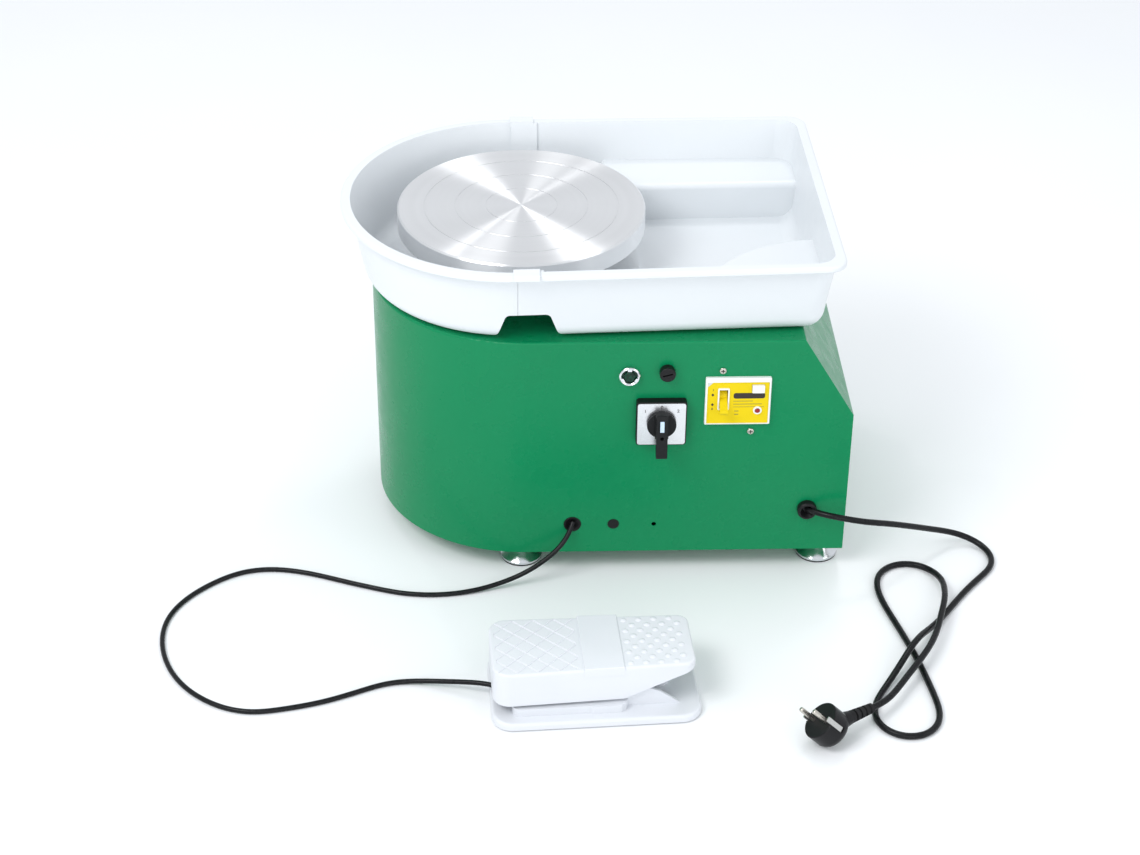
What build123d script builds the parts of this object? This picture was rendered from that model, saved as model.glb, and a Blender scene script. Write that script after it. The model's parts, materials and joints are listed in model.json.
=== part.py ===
from build123d import *
import os
from math import cos, pi, radians, tan

# Tabletop pottery wheel. The model is laid out about the wheel's axis (x = y = 0), with z = 0 on
# the floor, +X towards the square end of the case and -Y towards the control panel. TO_ORIGIN then
# puts the origin at the middle of the footprint.
TO_ORIGIN = Pos(-73, 116, 0)

FAR_X = 400              # beyond the model
RUN_GAP = 0.3            # air between pieces that move past each other
SHAFT_GAP = 0.05         # radial clearance of shafts and pins in their bores

# --- case ---
FOOT_H = 25
CASE_H = 250
CASE_R = 152.5           # half of the depth, and the radius of the round end
CASE_RIGHT = 327.5
SLANT_START_H = 163      # the square end is upright to here and slopes in above it
SLANT_TOP_X = 275
SHEET = 1.6
FOLD_R = 2
CASE_Z = FOOT_H
DECK_Z = CASE_Z + CASE_H
PANEL_Y = -CASE_R
BASE_LIP_H = 14
TRAY_GAP = 0.1
BASE_SLOT = (60, 5)
BASE_SLOTS_X = range(225, 295, 10)
BACK_SCREWS = [(x, CASE_Z + BASE_LIP_H / 2) for x in (20, 110, 200, 290)]

# --- places on the front panel: x from the wheel's axis, height above the case's lower edge ---
LAMP_AT = (103.3, 213)
FUSE_AT = (140.3, 217)
SWITCH_AT = (135.5, 161)
BREAKER_AT = (210.8, 183)
PEDAL_EXIT_AT = (48.7, 34.5)
PLUGGED_HOLE_AT = (90.5, 34.3)
OPEN_HOLE_AT = (131.9, 33.4)
GLAND_AT = (287.5, 51)
BREAKER_SCREWS_AT = [(195, 217), (225.3, 146)]

LAMP_R = 8
FUSE_R = 6.5
SWITCH_HOLE_R = 9
BUSHING_R = 9
PLUG_BUTTON_R = 6
OPEN_HOLE_R = 2.5
GLAND_THREAD_R = 7.8
BREAKER_CUTOUT = (58, 46)
SCREW_R = 2

# --- feet ---
FEET_AT = [(-3, -122), (305, -122), (-3, 122), (305, 122)]
FOOT_R = 21.5
FOOT_NECK_R = 9
FOOT_PAD_H = 2
STUD_R = 4

# --- wheel head and spindle ---
WHEEL_R = 125
WHEEL_T = 21
WHEEL_TOP = 346
WHEEL_PLATE_T = 9
WHEEL_RIM_W = 9
GROOVE_RADII = (36, 67, 98)
HUB_R = 28
HUB_T = 9
SPINDLE_R = 10
SPINDLE_BOTTOM = 116
BEARING_R = 21
BEARING_T = 12
UPPER_BEARING_Z = 254
LOWER_BEARING_Z = 176
HEAD_SCREW_RING = 20
NECK_R = 20
HOUSING_R = 30
HOUSING_FLANGE_R = 55
HOUSING_FLANGE_T = 8
HOUSING_BOLT_RING = 44

# --- belt drive ---
BELT_Z = 139
BELT_H = 14
BELT_T = 4
PULLEY_H = 20
DRIVEN_R = 60
MOTOR_PULLEY_R = 18
MOTOR_X = 165
MOTOR_R = 45
MOTOR_H = 100
MOTOR_PLATE_Z = 156
MOTOR_PLATE_T = 4
MOTOR_SHAFT_R = 6

# --- speed controller inside the case ---
BOARD_X = 125
BOARD_Y = 20
BOARD_Z = 36
BOARD_T = 1.6
BOARD = (130, 90)

# --- cam switch, measured from the middle of its plate ---
SWITCH_PLATE_OUT = 9.5
KNOB_UP = 1              # the knob's axis is this far above the middle of the plate
KNOB_R = 14.5

# --- circuit breaker, measured from the middle of its frame ---
FACE_DOWN = 1.6          # the face sits this far below the middle of the frame
TOGGLE_AT = (-14.4, 3.2)
TOGGLE_PIVOT_OUT = -6
TOGGLE_REACH = 23
TEST_KEY_AT = (19.7, 14.8)
RESET_AT = (19.7, -10.4)

# --- splash pan ---
PAN_T = 2.5              # thickness of the moulding
RIM_TOP = 359
RIM_H = 6
RIM_R = 171.5            # half-width of the rim at its round end
RIM_CENTRE_X = -10
RIM_FRONT_CORNER = (311, -158)
RIM_BACK_CORNER = (304.5, 175)
RIM_CORNER_R = 20
RIM_PROUD = 8.5          # how far the rim stands out from the wall under it
PAN_DRAFT = 11           # degrees
PAN_END_DRAFT = 6.4      # the square end is steeper
PAN_Z = DECK_Z + RUN_GAP
PAN_BOTTOM_R = 19
PAN_SEAM_X = -6
LAP_END_X = 19
LAP_GAP = 0.3
LAP_T = 2.2
TONGUE_X = (-10, 15)
RIDGE_X = 4
RIDGE_TOP_HALF = 21
RIDGE_BOTTOM_HALF = 32
RIDGE_H = 32
RIDGE_FOOT_R = 14
SHELF_Z = 318
SHELF_FRONT_Y = 91
SHELF_LEFT_X = 90
SHELF_TURN = 1.5
CORNER_STEP_Z = 317
CORNER_STEP_CENTRE = (300, -150)
CORNER_STEP_R = 130
FLOOR_PAD_R = 120
FLOOR_PAD_H = 4
SPINDLE_SLOT_R = 16

# --- foot pedal, laid out about the middle of its own base ---
PEDAL_AT = (63, -345.5)
PEDAL_TURN = 3.3
PEDAL_L = 200
PEDAL_BASE_HALF = 56
PEDAL_BASE_Z = 1.5
PEDAL_BASE_TOP = 9
PEDAL_STEP_Z = 17.5
PEDAL_PIVOT = (13, 31)   # x, z
PIN_R = 3
TREADLE_TOP = 58
TREADLE_T = 3
TREADLE_HEEL_X = -99
TREADLE_TOE_X = 94
TREADLE_HEEL_HALF = 44
TREADLE_TOE_HALF = 38
TREADLE_SKIRT_Z = 21
TREADLE_TOE_Z = 51
BAND_X = (-13, 25.5)
BAND_H = 1.6
DIAMOND_PITCH = 14
GROOVE_W = 1.8
GROOVE_DEPTH = 0.9
BUMP_R = 3.3
BUMP_H = 1.3
BUMP_PITCH = (14.6, 8.2)
SPRING_X = 62
SPRING_R = 7
SPRING_WIRE_R = 0.8
SPRING_TURNS = 6

# --- cords, with the points of their routes in this layout ---
PEDAL_CORD_D = 5
MAINS_CORD_D = 6.4
PEDAL_FLOOR_Z = PEDAL_CORD_D / 2
MAINS_FLOOR_Z = MAINS_CORD_D / 2
MAINS_OVER_Z = MAINS_FLOOR_Z + 2 * MAINS_CORD_D

PLUG_FACE = (271, -428.5, 28.5)
PLUG_PIN_DIR = (-0.70, -0.05, 0.71)
PLUG_CORD_DIR = (0.83, 0.55, -0.06)
PLUG_R = 19
PLUG_T = 24
PLUG_PIN_R = 2.4
PLUG_PIN_L = 19
PLUG_PIN_SPACING = 19
PIN_ROOT_R = 2.2
PIN_ROOT_L = 12
STRAIN_START = 26
STRAIN_END = 54

os.makedirs("parts", exist_ok=True)


def save(name, shape):
    """Write one node in the part's own frame."""
    export_step(TO_ORIGIN * shape, f"parts/{name}.step")


def at_panel(place, out=0):
    """Frame on the front panel: x along it, y up it, z out of it."""
    x, height = place
    return Plane(
        origin=(x, PANEL_Y - out, CASE_Z + height), x_dir=(1, 0, 0), z_dir=(0, -1, 0)
    ).location


def disc(radius, bottom, top):
    """Upright cylinder between two heights."""
    return Pos(0, 0, bottom) * extrude(Circle(radius), top - bottom)


def tube(outer, inner, bottom, top):
    """Upright ring between two heights."""
    return Pos(0, 0, bottom) * extrude(Circle(outer) - Circle(inner), top - bottom)


def slab(width, depth, bottom, top, corner=0):
    """Upright block between two heights, with round corners in plan if asked."""
    plan = RectangleRounded(width, depth, corner) if corner else Rectangle(width, depth)
    return Pos(0, 0, bottom) * extrude(plan, top - bottom)


def turned(profile):
    """Solid of revolution about z from (radius, height) points."""
    face = make_face(Polyline([(r, 0, z) for r, z in profile], close=True))
    return revolve(face, Axis.Z)


def group(shapes):
    """Separate solids that share one node."""
    return Compound([solid for shape in shapes for solid in shape.solids()])


# ---------------------------------------------------------------- case

def case_block(inset):
    """Filled outline of the case, drawn in from its outer faces."""
    right = CASE_RIGHT - CASE_R
    plan = Circle(CASE_R - inset) + Pos(right, 0) * Rectangle(2 * right, 2 * (CASE_R - inset))
    body = Pos(0, 0, CASE_Z) * extrude(plan, CASE_H)
    side = make_face(
        Polyline(
            (-CASE_R - 1, 0, CASE_Z - inset),
            (CASE_RIGHT - inset, 0, CASE_Z - inset),
            (CASE_RIGHT - inset, 0, CASE_Z + SLANT_START_H - inset * 0.3),
            (SLANT_TOP_X - inset * 0.4, 0, DECK_Z - inset),
            (-CASE_R - 1, 0, DECK_Z - inset),
            close=True,
        )
    )
    return body & extrude(side, CASE_R + 1, both=True)


def panel_holes():
    """Everything cut through the front panel, as one tool."""
    round_holes = [
        (LAMP_AT, LAMP_R),
        (FUSE_AT, FUSE_R),
        (SWITCH_AT, SWITCH_HOLE_R),
        (PEDAL_EXIT_AT, BUSHING_R),
        (PLUGGED_HOLE_AT, PLUG_BUTTON_R),
        (OPEN_HOLE_AT, OPEN_HOLE_R),
        (GLAND_AT, GLAND_THREAD_R),
    ]
    cuts = [at_panel(place) * Cylinder(radius, 4 * SHEET) for place, radius in round_holes]
    cuts += [at_panel(place) * Cylinder(SCREW_R, 4 * SHEET) for place in BREAKER_SCREWS_AT]
    cuts.append(at_panel(BREAKER_AT) * Box(*BREAKER_CUTOUT, 4 * SHEET))
    return cuts


def case_shell():
    """Folded sheet wrap with the deck, open underneath."""
    block = case_block(0)
    block = fillet(block.faces().sort_by(Axis.Z)[-1].edges(), FOLD_R)
    shell = block - case_block(SHEET)
    for cut in panel_holes():
        shell -= cut
    shell -= disc(NECK_R + RUN_GAP, DECK_Z - 4 * SHEET, DECK_Z + SHEET)
    for x, z in BACK_SCREWS:
        shell -= Pos(x, CASE_R, z) * Rot(90, 0, 0) * Cylinder(SCREW_R, 8 * SHEET)
    return shell


def base_plate():
    """Shallow tray that closes the case underneath, with cooling slots and foot holes."""
    clearance = SHEET + TRAY_GAP
    lip_top = CASE_Z + BASE_LIP_H
    tray = case_block(clearance) & slab(2 * FAR_X, 2 * FAR_X, CASE_Z, lip_top)
    tray -= case_block(clearance + SHEET) & slab(2 * FAR_X, 2 * FAR_X, CASE_Z + SHEET, lip_top)
    for x, y in FEET_AT:
        tray -= Pos(x, y, CASE_Z) * Cylinder(STUD_R + 0.2, 8 * SHEET)
    slot = Rot(0, 0, 90) * extrude(SlotOverall(*BASE_SLOT), 8 * SHEET, both=True)
    for x in BASE_SLOTS_X:
        tray -= Pos(x, 0, CASE_Z) * slot
    for x, z in BACK_SCREWS:
        tray -= Pos(x, CASE_R - SHEET, z) * Rot(90, 0, 0) * Cylinder(SCREW_R, 8 * SHEET)
    for post in board_posts():
        tray += post
    return tray


def case_screws():
    """Pan-head screws through the back wall into the base tray."""
    screws = []
    for x, z in BACK_SCREWS:
        head = Pos(0, 0, 1) * Cylinder(3.6, 2)
        head -= Pos(0, 0, 1.6) * Box(4.4, 0.9, 1.2)
        head -= Pos(0, 0, 1.6) * Box(0.9, 4.4, 1.2)
        shank = Pos(0, 0, -3) * Cylinder(SCREW_R - 0.05, 6)
        screws.append(Pos(x, CASE_R, z) * Rot(-90, 0, 0) * (head + shank))
    return group(screws)


# ---------------------------------------------------------------- feet

def foot():
    """Bell-shaped foot, with a blind hole for its stud."""
    flare = Spline(
        (FOOT_R, 0, 4), (FOOT_R - 4.2, 0, 8), (FOOT_NECK_R + 2, 0, 16), (FOOT_NECK_R, 0, FOOT_H - 2)
    )
    lines = flare + Polyline(
        (FOOT_NECK_R, 0, FOOT_H - 2),
        (FOOT_NECK_R, 0, FOOT_H),
        (0, 0, FOOT_H),
        (0, 0, FOOT_PAD_H),
        (FOOT_R, 0, FOOT_PAD_H),
        (FOOT_R, 0, 4),
    )
    bell = revolve(make_face(lines), Axis.Z)
    return bell - disc(STUD_R + 0.05, 10, FOOT_H)


def foot_bolt():
    """Hexagon bolt from inside the case, through the base plate into the foot."""
    return disc(STUD_R, 10, CASE_Z + SHEET) + Pos(0, 0, CASE_Z + SHEET) * extrude(RegularPolygon(7.5, 6), 5.5)


def at_feet(shape):
    return [Pos(x, y, 0) * shape for x, y in FEET_AT]


# ---------------------------------------------------------------- wheel and spindle

def wheel_head():
    """Turned aluminium disc with a deep rim, a centre boss and ribs underneath."""
    low = WHEEL_TOP - WHEEL_T
    head = disc(WHEEL_R, low, WHEEL_TOP)
    head = chamfer(head.faces().sort_by(Axis.Z)[-1].edges(), 1.6)
    head -= tube(WHEEL_R - WHEEL_RIM_W, HUB_R, low, WHEEL_TOP - WHEEL_PLATE_T)
    for rib in range(6):
        length = WHEEL_R - WHEEL_RIM_W - HUB_R + 2
        middle = (WHEEL_R - WHEEL_RIM_W + HUB_R) / 2
        bar = Pos(middle, 0, WHEEL_TOP - WHEEL_PLATE_T - 4) * Box(length, 4, 8)
        head += Rot(0, 0, 60 * rib) * bar
    for radius in GROOVE_RADII:
        head -= tube(radius + 0.5, radius - 0.5, WHEEL_TOP - 0.5, WHEEL_TOP)
    head -= disc(SPINDLE_R + SHAFT_GAP, low, WHEEL_TOP - WHEEL_PLATE_T - 1)
    for turn in range(3):
        hole = Pos(HEAD_SCREW_RING, 0, low + 4) * Cylinder(2.5, 8)
        head -= Rot(0, 0, 120 * turn) * hole
    return head


def hub_screws():
    """Cap screws from the flange up into the head."""
    top = WHEEL_TOP - WHEEL_T
    screws = []
    for turn in range(3):
        screw = disc(4.2, top - HUB_T + 0.5, top - 4) + disc(2.45, top - 4, top + 7.5)
        screw -= Pos(0, 0, top - HUB_T + 0.5) * extrude(RegularPolygon(2, 6), 2.5)
        screws.append(Rot(0, 0, 120 * turn) * Pos(HEAD_SCREW_RING, 0, 0) * screw)
    return group(screws)


def spindle():
    """Upright shaft, turned in one with the flange that carries the wheel head."""
    top = WHEEL_TOP - WHEEL_T
    shoulder = UPPER_BEARING_Z + BEARING_T
    shaft = disc(SPINDLE_R, SPINDLE_BOTTOM, WHEEL_TOP - WHEEL_PLATE_T - 1.5)
    shaft += disc(SPINDLE_R + 3, shoulder + RUN_GAP, shoulder + 5)
    shaft += disc(HUB_R, top - HUB_T, top)
    for turn in range(3):
        place = Rot(0, 0, 120 * turn) * Pos(HEAD_SCREW_RING, 0, 0)
        shaft -= place * disc(2.55, top - HUB_T, top)
        shaft -= place * disc(4.6, top - HUB_T, top - HUB_T + 5)
    return shaft


def bearing(bottom):
    """Deep-groove ball bearing as one closed ring with shallow races."""
    ring = tube(BEARING_R, SPINDLE_R + SHAFT_GAP, bottom, bottom + BEARING_T)
    race = tube(17, 14, bottom, bottom + 0.6)
    return ring - race - Pos(0, 0, BEARING_T - 0.6) * race


def bearing_housing():
    """Flanged tube that carries both bearings, with a neck through the deck."""
    flange_top = DECK_Z - SHEET
    housing = disc(HOUSING_FLANGE_R, flange_top - HOUSING_FLANGE_T, flange_top)
    housing += disc(HOUSING_R, LOWER_BEARING_Z - 1, flange_top)
    housing += disc(NECK_R, flange_top, DECK_Z + 9)
    for fin in range(4):
        web = Pos(35, 0, flange_top - 28) * Box(24, 6, 56)
        housing += Rot(0, 0, 45 + 90 * fin) * web
    housing -= disc(SPINDLE_R + 4, LOWER_BEARING_Z - 5, DECK_Z + 9)
    housing -= disc(BEARING_R, LOWER_BEARING_Z - 1, LOWER_BEARING_Z + BEARING_T)
    housing -= disc(BEARING_R - 3, LOWER_BEARING_Z + BEARING_T, UPPER_BEARING_Z)
    housing -= disc(BEARING_R, UPPER_BEARING_Z, UPPER_BEARING_Z + BEARING_T)
    housing -= disc(16, DECK_Z + 2, DECK_Z + 9)
    for turn in range(4):
        hole = Pos(HOUSING_BOLT_RING, 0, flange_top - 4) * Cylinder(4.1, 12)
        housing -= Rot(0, 0, 90 * turn) * hole
    return housing


def spindle_seal():
    """Rubber lip seal at the top of the neck."""
    return tube(16, SPINDLE_R + SHAFT_GAP, DECK_Z + 2, DECK_Z + 9)


def housing_bolts():
    """Four nuts on the deck's welded studs, under the housing's flange."""
    flange_low = DECK_Z - SHEET - HOUSING_FLANGE_T
    bolt = disc(4, flange_low - 7, DECK_Z - SHEET)
    bolt += Pos(0, 0, flange_low - 5) * extrude(RegularPolygon(7.5, 6), 5)
    return group(Rot(0, 0, 90 * turn) * Pos(HOUSING_BOLT_RING, 0, 0) * bolt for turn in range(4))


def retaining_nut():
    """Nut under the big pulley at the spindle's lower end."""
    nut = extrude(RegularPolygon(16, 6) - Circle(SPINDLE_R + SHAFT_GAP), 10)
    return Pos(0, 0, SPINDLE_BOTTOM + 2.5) * nut


# ---------------------------------------------------------------- belt drive

def pulley(radius, bore, flange, spokes):
    """Flat-belt pulley with two edge flanges, its middle at z = 0."""
    half = PULLEY_H / 2
    wheel = disc(radius, -half, half)
    wheel += disc(radius + flange, -half, -half + 2) + disc(radius + flange, half - 2, half)
    if spokes:
        web = tube(radius - 7, bore + 10, 3, half) + tube(radius - 7, bore + 10, -half, -3)
        wheel -= web
        for turn in range(spokes):
            opening = Rot(0, 0, 360 / spokes * turn) * Pos(radius / 2 + 4, 0, 0) * Cylinder(11, 7)
            wheel -= opening
    return wheel - disc(bore + SHAFT_GAP, -half, half)


def drive_belt():
    """Closed loop of belt around both pulleys."""
    near = RUN_GAP
    small = Pos(MOTOR_X, 0)

    def loop(grow):
        big_r = DRIVEN_R + near + grow
        small_r = MOTOR_PULLEY_R + near + grow
        outline = make_hull(Circle(big_r).edges() + (small * Circle(small_r)).edges())
        return extrude(outline, BELT_H / 2, both=True)

    return Pos(0, 0, BELT_Z) * (loop(BELT_T) - loop(0))


def motor_body():
    """Round direct-current motor standing on its bracket, with end bells and cooling slots."""
    bottom = MOTOR_PLATE_Z + MOTOR_PLATE_T
    body = disc(MOTOR_R, bottom, bottom + MOTOR_H)
    body = fillet(body.faces().sort_by(Axis.Z)[-1].edges(), 5)
    body -= tube(MOTOR_R + 1, MOTOR_R - 1.2, bottom + 18, bottom + 20)
    body -= tube(MOTOR_R + 1, MOTOR_R - 1.2, bottom + MOTOR_H - 22, bottom + MOTOR_H - 20)
    for turn in range(8):
        slot = Pos(MOTOR_R, 0, bottom + MOTOR_H - 12) * Box(8, 14, 6)
        body -= Rot(0, 0, 45 * turn) * slot
    body -= disc(MOTOR_SHAFT_R + SHAFT_GAP, bottom, bottom + 32)
    for place in motor_screw_places():
        body -= place * disc(2.05, bottom, bottom + 10)
    return Pos(MOTOR_X, 0, 0) * body


def motor_screw_places():
    return [Rot(0, 0, 45 + 90 * turn) * Pos(32, 0, 0) for turn in range(4)]


def motor_screws():
    """Four screws from below the bracket into the motor's end bell."""
    low = MOTOR_PLATE_Z
    screw = disc(2, low, low + MOTOR_PLATE_T + 9) + disc(3.6, low - 2.5, low)
    return group(Pos(MOTOR_X, 0, 0) * place * screw for place in motor_screw_places())


def motor_bracket():
    """Folded hanger, welded to the deck, that holds the motor by its lower end."""
    top = DECK_Z - SHEET
    half = MOTOR_R + 7
    plate = slab(110, 2 * half, MOTOR_PLATE_Z, MOTOR_PLATE_Z + MOTOR_PLATE_T)
    for side in (-1, 1):
        leg_z = (MOTOR_PLATE_Z + top) / 2
        plate += Pos(0, side * (half - 1.5), leg_z) * Box(90, 3, top - MOTOR_PLATE_Z)
        plate += Pos(0, side * (half + 7), top - 1.5) * Box(90, 18, 3)
    plate -= disc(12, MOTOR_PLATE_Z, MOTOR_PLATE_Z + MOTOR_PLATE_T)
    for place in motor_screw_places():
        plate -= place * disc(2.2, MOTOR_PLATE_Z, MOTOR_PLATE_Z + MOTOR_PLATE_T)
    return Pos(MOTOR_X, 0, 0) * plate


def motor_shaft():
    """Motor shaft, pointing down."""
    bottom = MOTOR_PLATE_Z + MOTOR_PLATE_T
    return Pos(MOTOR_X, 0, 0) * disc(MOTOR_SHAFT_R, BELT_Z - PULLEY_H / 2 - 3, bottom + 31)


# ---------------------------------------------------------------- controller inside the case

def board_posts():
    """Pressed posts that stand the board off the base plate."""
    post = disc(3.5, CASE_Z, BOARD_Z)
    return [Pos(BOARD_X + sx * 58, BOARD_Y + sy * 38, 0) * post for sx in (-1, 1) for sy in (-1, 1)]


def controller_board():
    """Speed controller: the printed board with its capacitors and terminals soldered on."""
    board = Pos(BOARD_X, BOARD_Y, BOARD_Z) * extrude(RectangleRounded(*BOARD, 3), BOARD_T)
    board += terminal_block()
    for row in range(2):
        board += board_capacitor(row)
    return board


def board_heatsink():
    """Finned block for the power stage."""
    low = BOARD_Z + BOARD_T
    sink = Pos(0, 0, low) * extrude(Rectangle(70, 34), 8)
    for fin in range(8):
        sink += Pos(-31.5 + 9 * fin, 0, low + 19) * Box(2, 34, 24)
    return Pos(BOARD_X - 20, 38, 0) * sink


def board_capacitor(row):
    """One reservoir capacitor standing on the board."""
    can = fillet(disc(11, BOARD_Z + BOARD_T, BOARD_Z + 36).edges().sort_by(Axis.Z)[-1:], 1.5)
    return Pos(BOARD_X + 36, 44 - 27 * row, 0) * can


def terminal_block():
    """Row of screw terminals along the board's front edge."""
    low = BOARD_Z + BOARD_T
    block = Pos(0, 0, low) * extrude(Rectangle(80, 12), 14)
    for way in range(8):
        block -= Pos(-35 + 10 * way, 0, low + 12) * Cylinder(3, 6)
        block -= Pos(-35 + 10 * way, -6, low + 4) * Box(5, 6, 5)
    return Pos(BOARD_X - 10, -14, 0) * block


# ---------------------------------------------------------------- lamp and fuse

def lamp_bezel():
    """Chrome bezel with three lugs over the lens, in one with the lamp holder behind the panel."""
    ring = tube(LAMP_R + 2.4, LAMP_R - 1, 0, 0.9) + tube(LAMP_R + 2.4, LAMP_R - 0.2, 0.9, 5)
    ring = chamfer(ring.faces().sort_by(Axis.Z)[-1].edges(), 0.9)
    for turn in range(3):
        lug = Pos(LAMP_R - 0.6, 0, 4.2) * Box(2.2, 4, 1.2)
        ring += Rot(0, 0, 90 + 120 * turn) * lug
    body = disc(LAMP_R - 0.2, -26, -2) + disc(LAMP_R - 0.2, -2, 0) - disc(LAMP_R - 1, -2, 0)
    body += disc(LAMP_R + 2.8, -5, -SHEET) - disc(LAMP_R - 1, -5, -SHEET)
    for side in (-1, 1):
        body += Pos(side * 3, 0, -30) * Box(0.8, 4, 8)
    return at_panel(LAMP_AT) * (ring + body)


def lamp_lens():
    """Green lens, low enough to sit under the lugs."""
    lens = disc(LAMP_R - 1.2, -1.5, 1) + disc(LAMP_R - 0.4, 1, 2.2)
    crown = disc(LAMP_R - 2.4, 2.2, 4.6)
    crown = fillet(crown.faces().sort_by(Axis.Z)[-1].edges(), 1.5)
    return at_panel(LAMP_AT) * (lens + crown)


def fuse_holder():
    """Fuse carrier's housing, with a thin collar outside and a nut inside."""
    body = disc(FUSE_R - 0.2, -36, 0) + disc(FUSE_R + 1, 0, 1.4) + disc(FUSE_R + 3, -5, -SHEET)
    return at_panel(FUSE_AT) * (body - disc(3.8, -32, 1.4))


def fuse_cap():
    """Slotted cap, with the stem that holds the fuse."""
    cap = disc(7.9, 1.4 + RUN_GAP, 8.5) + disc(3.4, -6, 1.4 + RUN_GAP)
    cap = fillet(cap.faces().sort_by(Axis.Z)[-1].edges(), 1)
    slot = Pos(0, 0, 8) * Rot(0, 0, 15) * Box(10, 1.6, 3)
    return at_panel(FUSE_AT) * (cap - slot)


def fuse_cartridge():
    """Glass cartridge fuse with metal end caps."""
    fuse = disc(2.4, -26, -6) + disc(2.6, -26, -20.5) + disc(2.6, -11.5, -6)
    return at_panel(FUSE_AT) * fuse


# ---------------------------------------------------------------- cam switch

def switch_base():
    """Square black base on the panel."""
    base = slab(50, 50, 0, 8.5, 3) - Pos(0, KNOB_UP, 0) * disc(4.6, 0, 8.5)
    return at_panel(SWITCH_AT) * base


def switch_plate():
    """Brushed square legend plate on the base."""
    plate = slab(47.6, 47.6, 8.5, 9.5, 2.5) - Pos(0, KNOB_UP, 0) * disc(4.6, 8.5, 9.5)
    return at_panel(SWITCH_AT) * plate


def switch_body():
    """Contact block behind the panel."""
    block = slab(44, 44, -44, -SHEET, 2) - Pos(0, KNOB_UP, 0) * disc(4.1, -26, -SHEET)
    for row in range(4):
        block -= Pos(0, 0, -9 - 9 * row) * (Box(60, 60, 1.2) - Box(42, 42, 2))
    return at_panel(SWITCH_AT) * block


def switch_knob():
    """Round knob with a raised grip that runs out into a lever."""
    knob = disc(KNOB_R, SWITCH_PLATE_OUT + RUN_GAP, 19)
    knob = fillet(knob.faces().sort_by(Axis.Z)[-1].edges(), 1.5)
    for side in (-1, 1):
        knob -= Pos(side * 12, 0, 17.5) * Box(11, 40, 7)
    profile = make_face(
        Polyline(
            (0, 13.5, 12), (0, 13.5, 19), (0, 10, 20.8), (0, -12, 23.5), (0, -30, 26),
            (0, -32, 25), (0, -32, 17.5), (0, -13, 13.5),
            close=True,
        )
    )
    bar = extrude(profile, 5.6, both=True)
    bar = fillet(bar.edges().filter_by(Axis.X, reverse=True).sort_by(Axis.Z)[-4:], 0.8)
    knob += bar
    knob += disc(4, -24, 10)
    knob -= Pos(0, -9.5, 22) * Cylinder(1.9, 6)
    knob -= marker_inlay()
    return at_panel(SWITCH_AT) * Pos(0, KNOB_UP, 0) * knob


def marker_inlay():
    return Pos(0, 3.6, 21.9) * Rot(-7.2, 0, 0) * Box(4, 11.5, 1)


def knob_marker():
    """Pale inlay in the grip that shows which way the switch is set."""
    return at_panel(SWITCH_AT) * Pos(0, KNOB_UP, 0) * marker_inlay()


# ---------------------------------------------------------------- circuit breaker

def breaker_body():
    """Breaker mechanism behind the panel, with a pocket for the toggle."""
    body = slab(BREAKER_CUTOUT[0] - 1, BREAKER_CUTOUT[1] - 2, -42, 0.5)
    body -= Pos(*TOGGLE_AT, -8) * Box(9.2, 22, 22)
    body -= Pos(*TEST_KEY_AT, -4.5) * Box(13, 9, 12)
    body -= Pos(*RESET_AT, -4.5) * Cylinder(2.8, 12)
    return at_panel(BREAKER_AT) * body


def breaker_frame():
    """White surround, higher along its top edge."""
    frame = slab(65, 54, 0, 4, 1.5)
    frame = chamfer(frame.faces().sort_by(Axis.Z)[-1].edges(), 0.8)
    return at_panel(BREAKER_AT) * (frame - Pos(0, -FACE_DOWN, 0) * slab(61, 48, 0, 4, 0.8))


def breaker_face():
    """Yellow cover plate with its openings."""
    face = Pos(0, -FACE_DOWN, 0) * slab(60.8, 47.8, 0.5, 3, 0.7)
    face -= Pos(*TOGGLE_AT, 2) * Box(8.6, 21.6, 5)
    face -= Pos(*TEST_KEY_AT, 2) * Box(12.9, 8.9, 5)
    face -= Pos(*RESET_AT, 2) * Cylinder(2.7, 5)
    return at_panel(BREAKER_AT) * face


def breaker_trims():
    """White guards around the toggle's slot and around the reset button."""
    frame = slab(11.4, 24.4, 3, 4.6, 1) - slab(8.6, 21.6, 3, 4.6)
    ring = tube(4.3, 2.7, 3, 4.4)
    place = at_panel(BREAKER_AT)
    return group([place * Pos(*TOGGLE_AT, 0) * frame, place * Pos(*RESET_AT, 0) * ring])


def breaker_toggle():
    """Yellow toggle on a drum, hanging down in its off position."""
    tip_half = 3.2
    root_half = 2.6
    reach = TOGGLE_REACH
    lever = make_face(
        Polyline(
            (0, root_half, 0), (0, tip_half, reach - 1.5), (0, tip_half - 1.5, reach),
            (0, 1.5 - tip_half, reach), (0, -tip_half, reach - 1.5), (0, -root_half, 0),
            close=True,
        )
    )
    toggle = extrude(lever, 3.9, both=True) + Rot(0, 90, 0) * Cylinder(6.5, 7.8)
    return at_panel(BREAKER_AT) * Pos(*TOGGLE_AT, TOGGLE_PIVOT_OUT) * Rot(30, 0, 0) * toggle


def test_key():
    """White rectangular test key."""
    key = fillet(slab(12.3, 8.3, -3, 6.2, 0.8).faces().sort_by(Axis.Z)[-1].edges(), 0.7)
    return at_panel(BREAKER_AT) * Pos(*TEST_KEY_AT, 0) * key


def reset_button():
    """Small red button that springs out when the breaker trips."""
    button = fillet(disc(2.35, -3, 5.6).faces().sort_by(Axis.Z)[-1].edges(), 0.8)
    return at_panel(BREAKER_AT) * Pos(*RESET_AT, 0) * button


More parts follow.
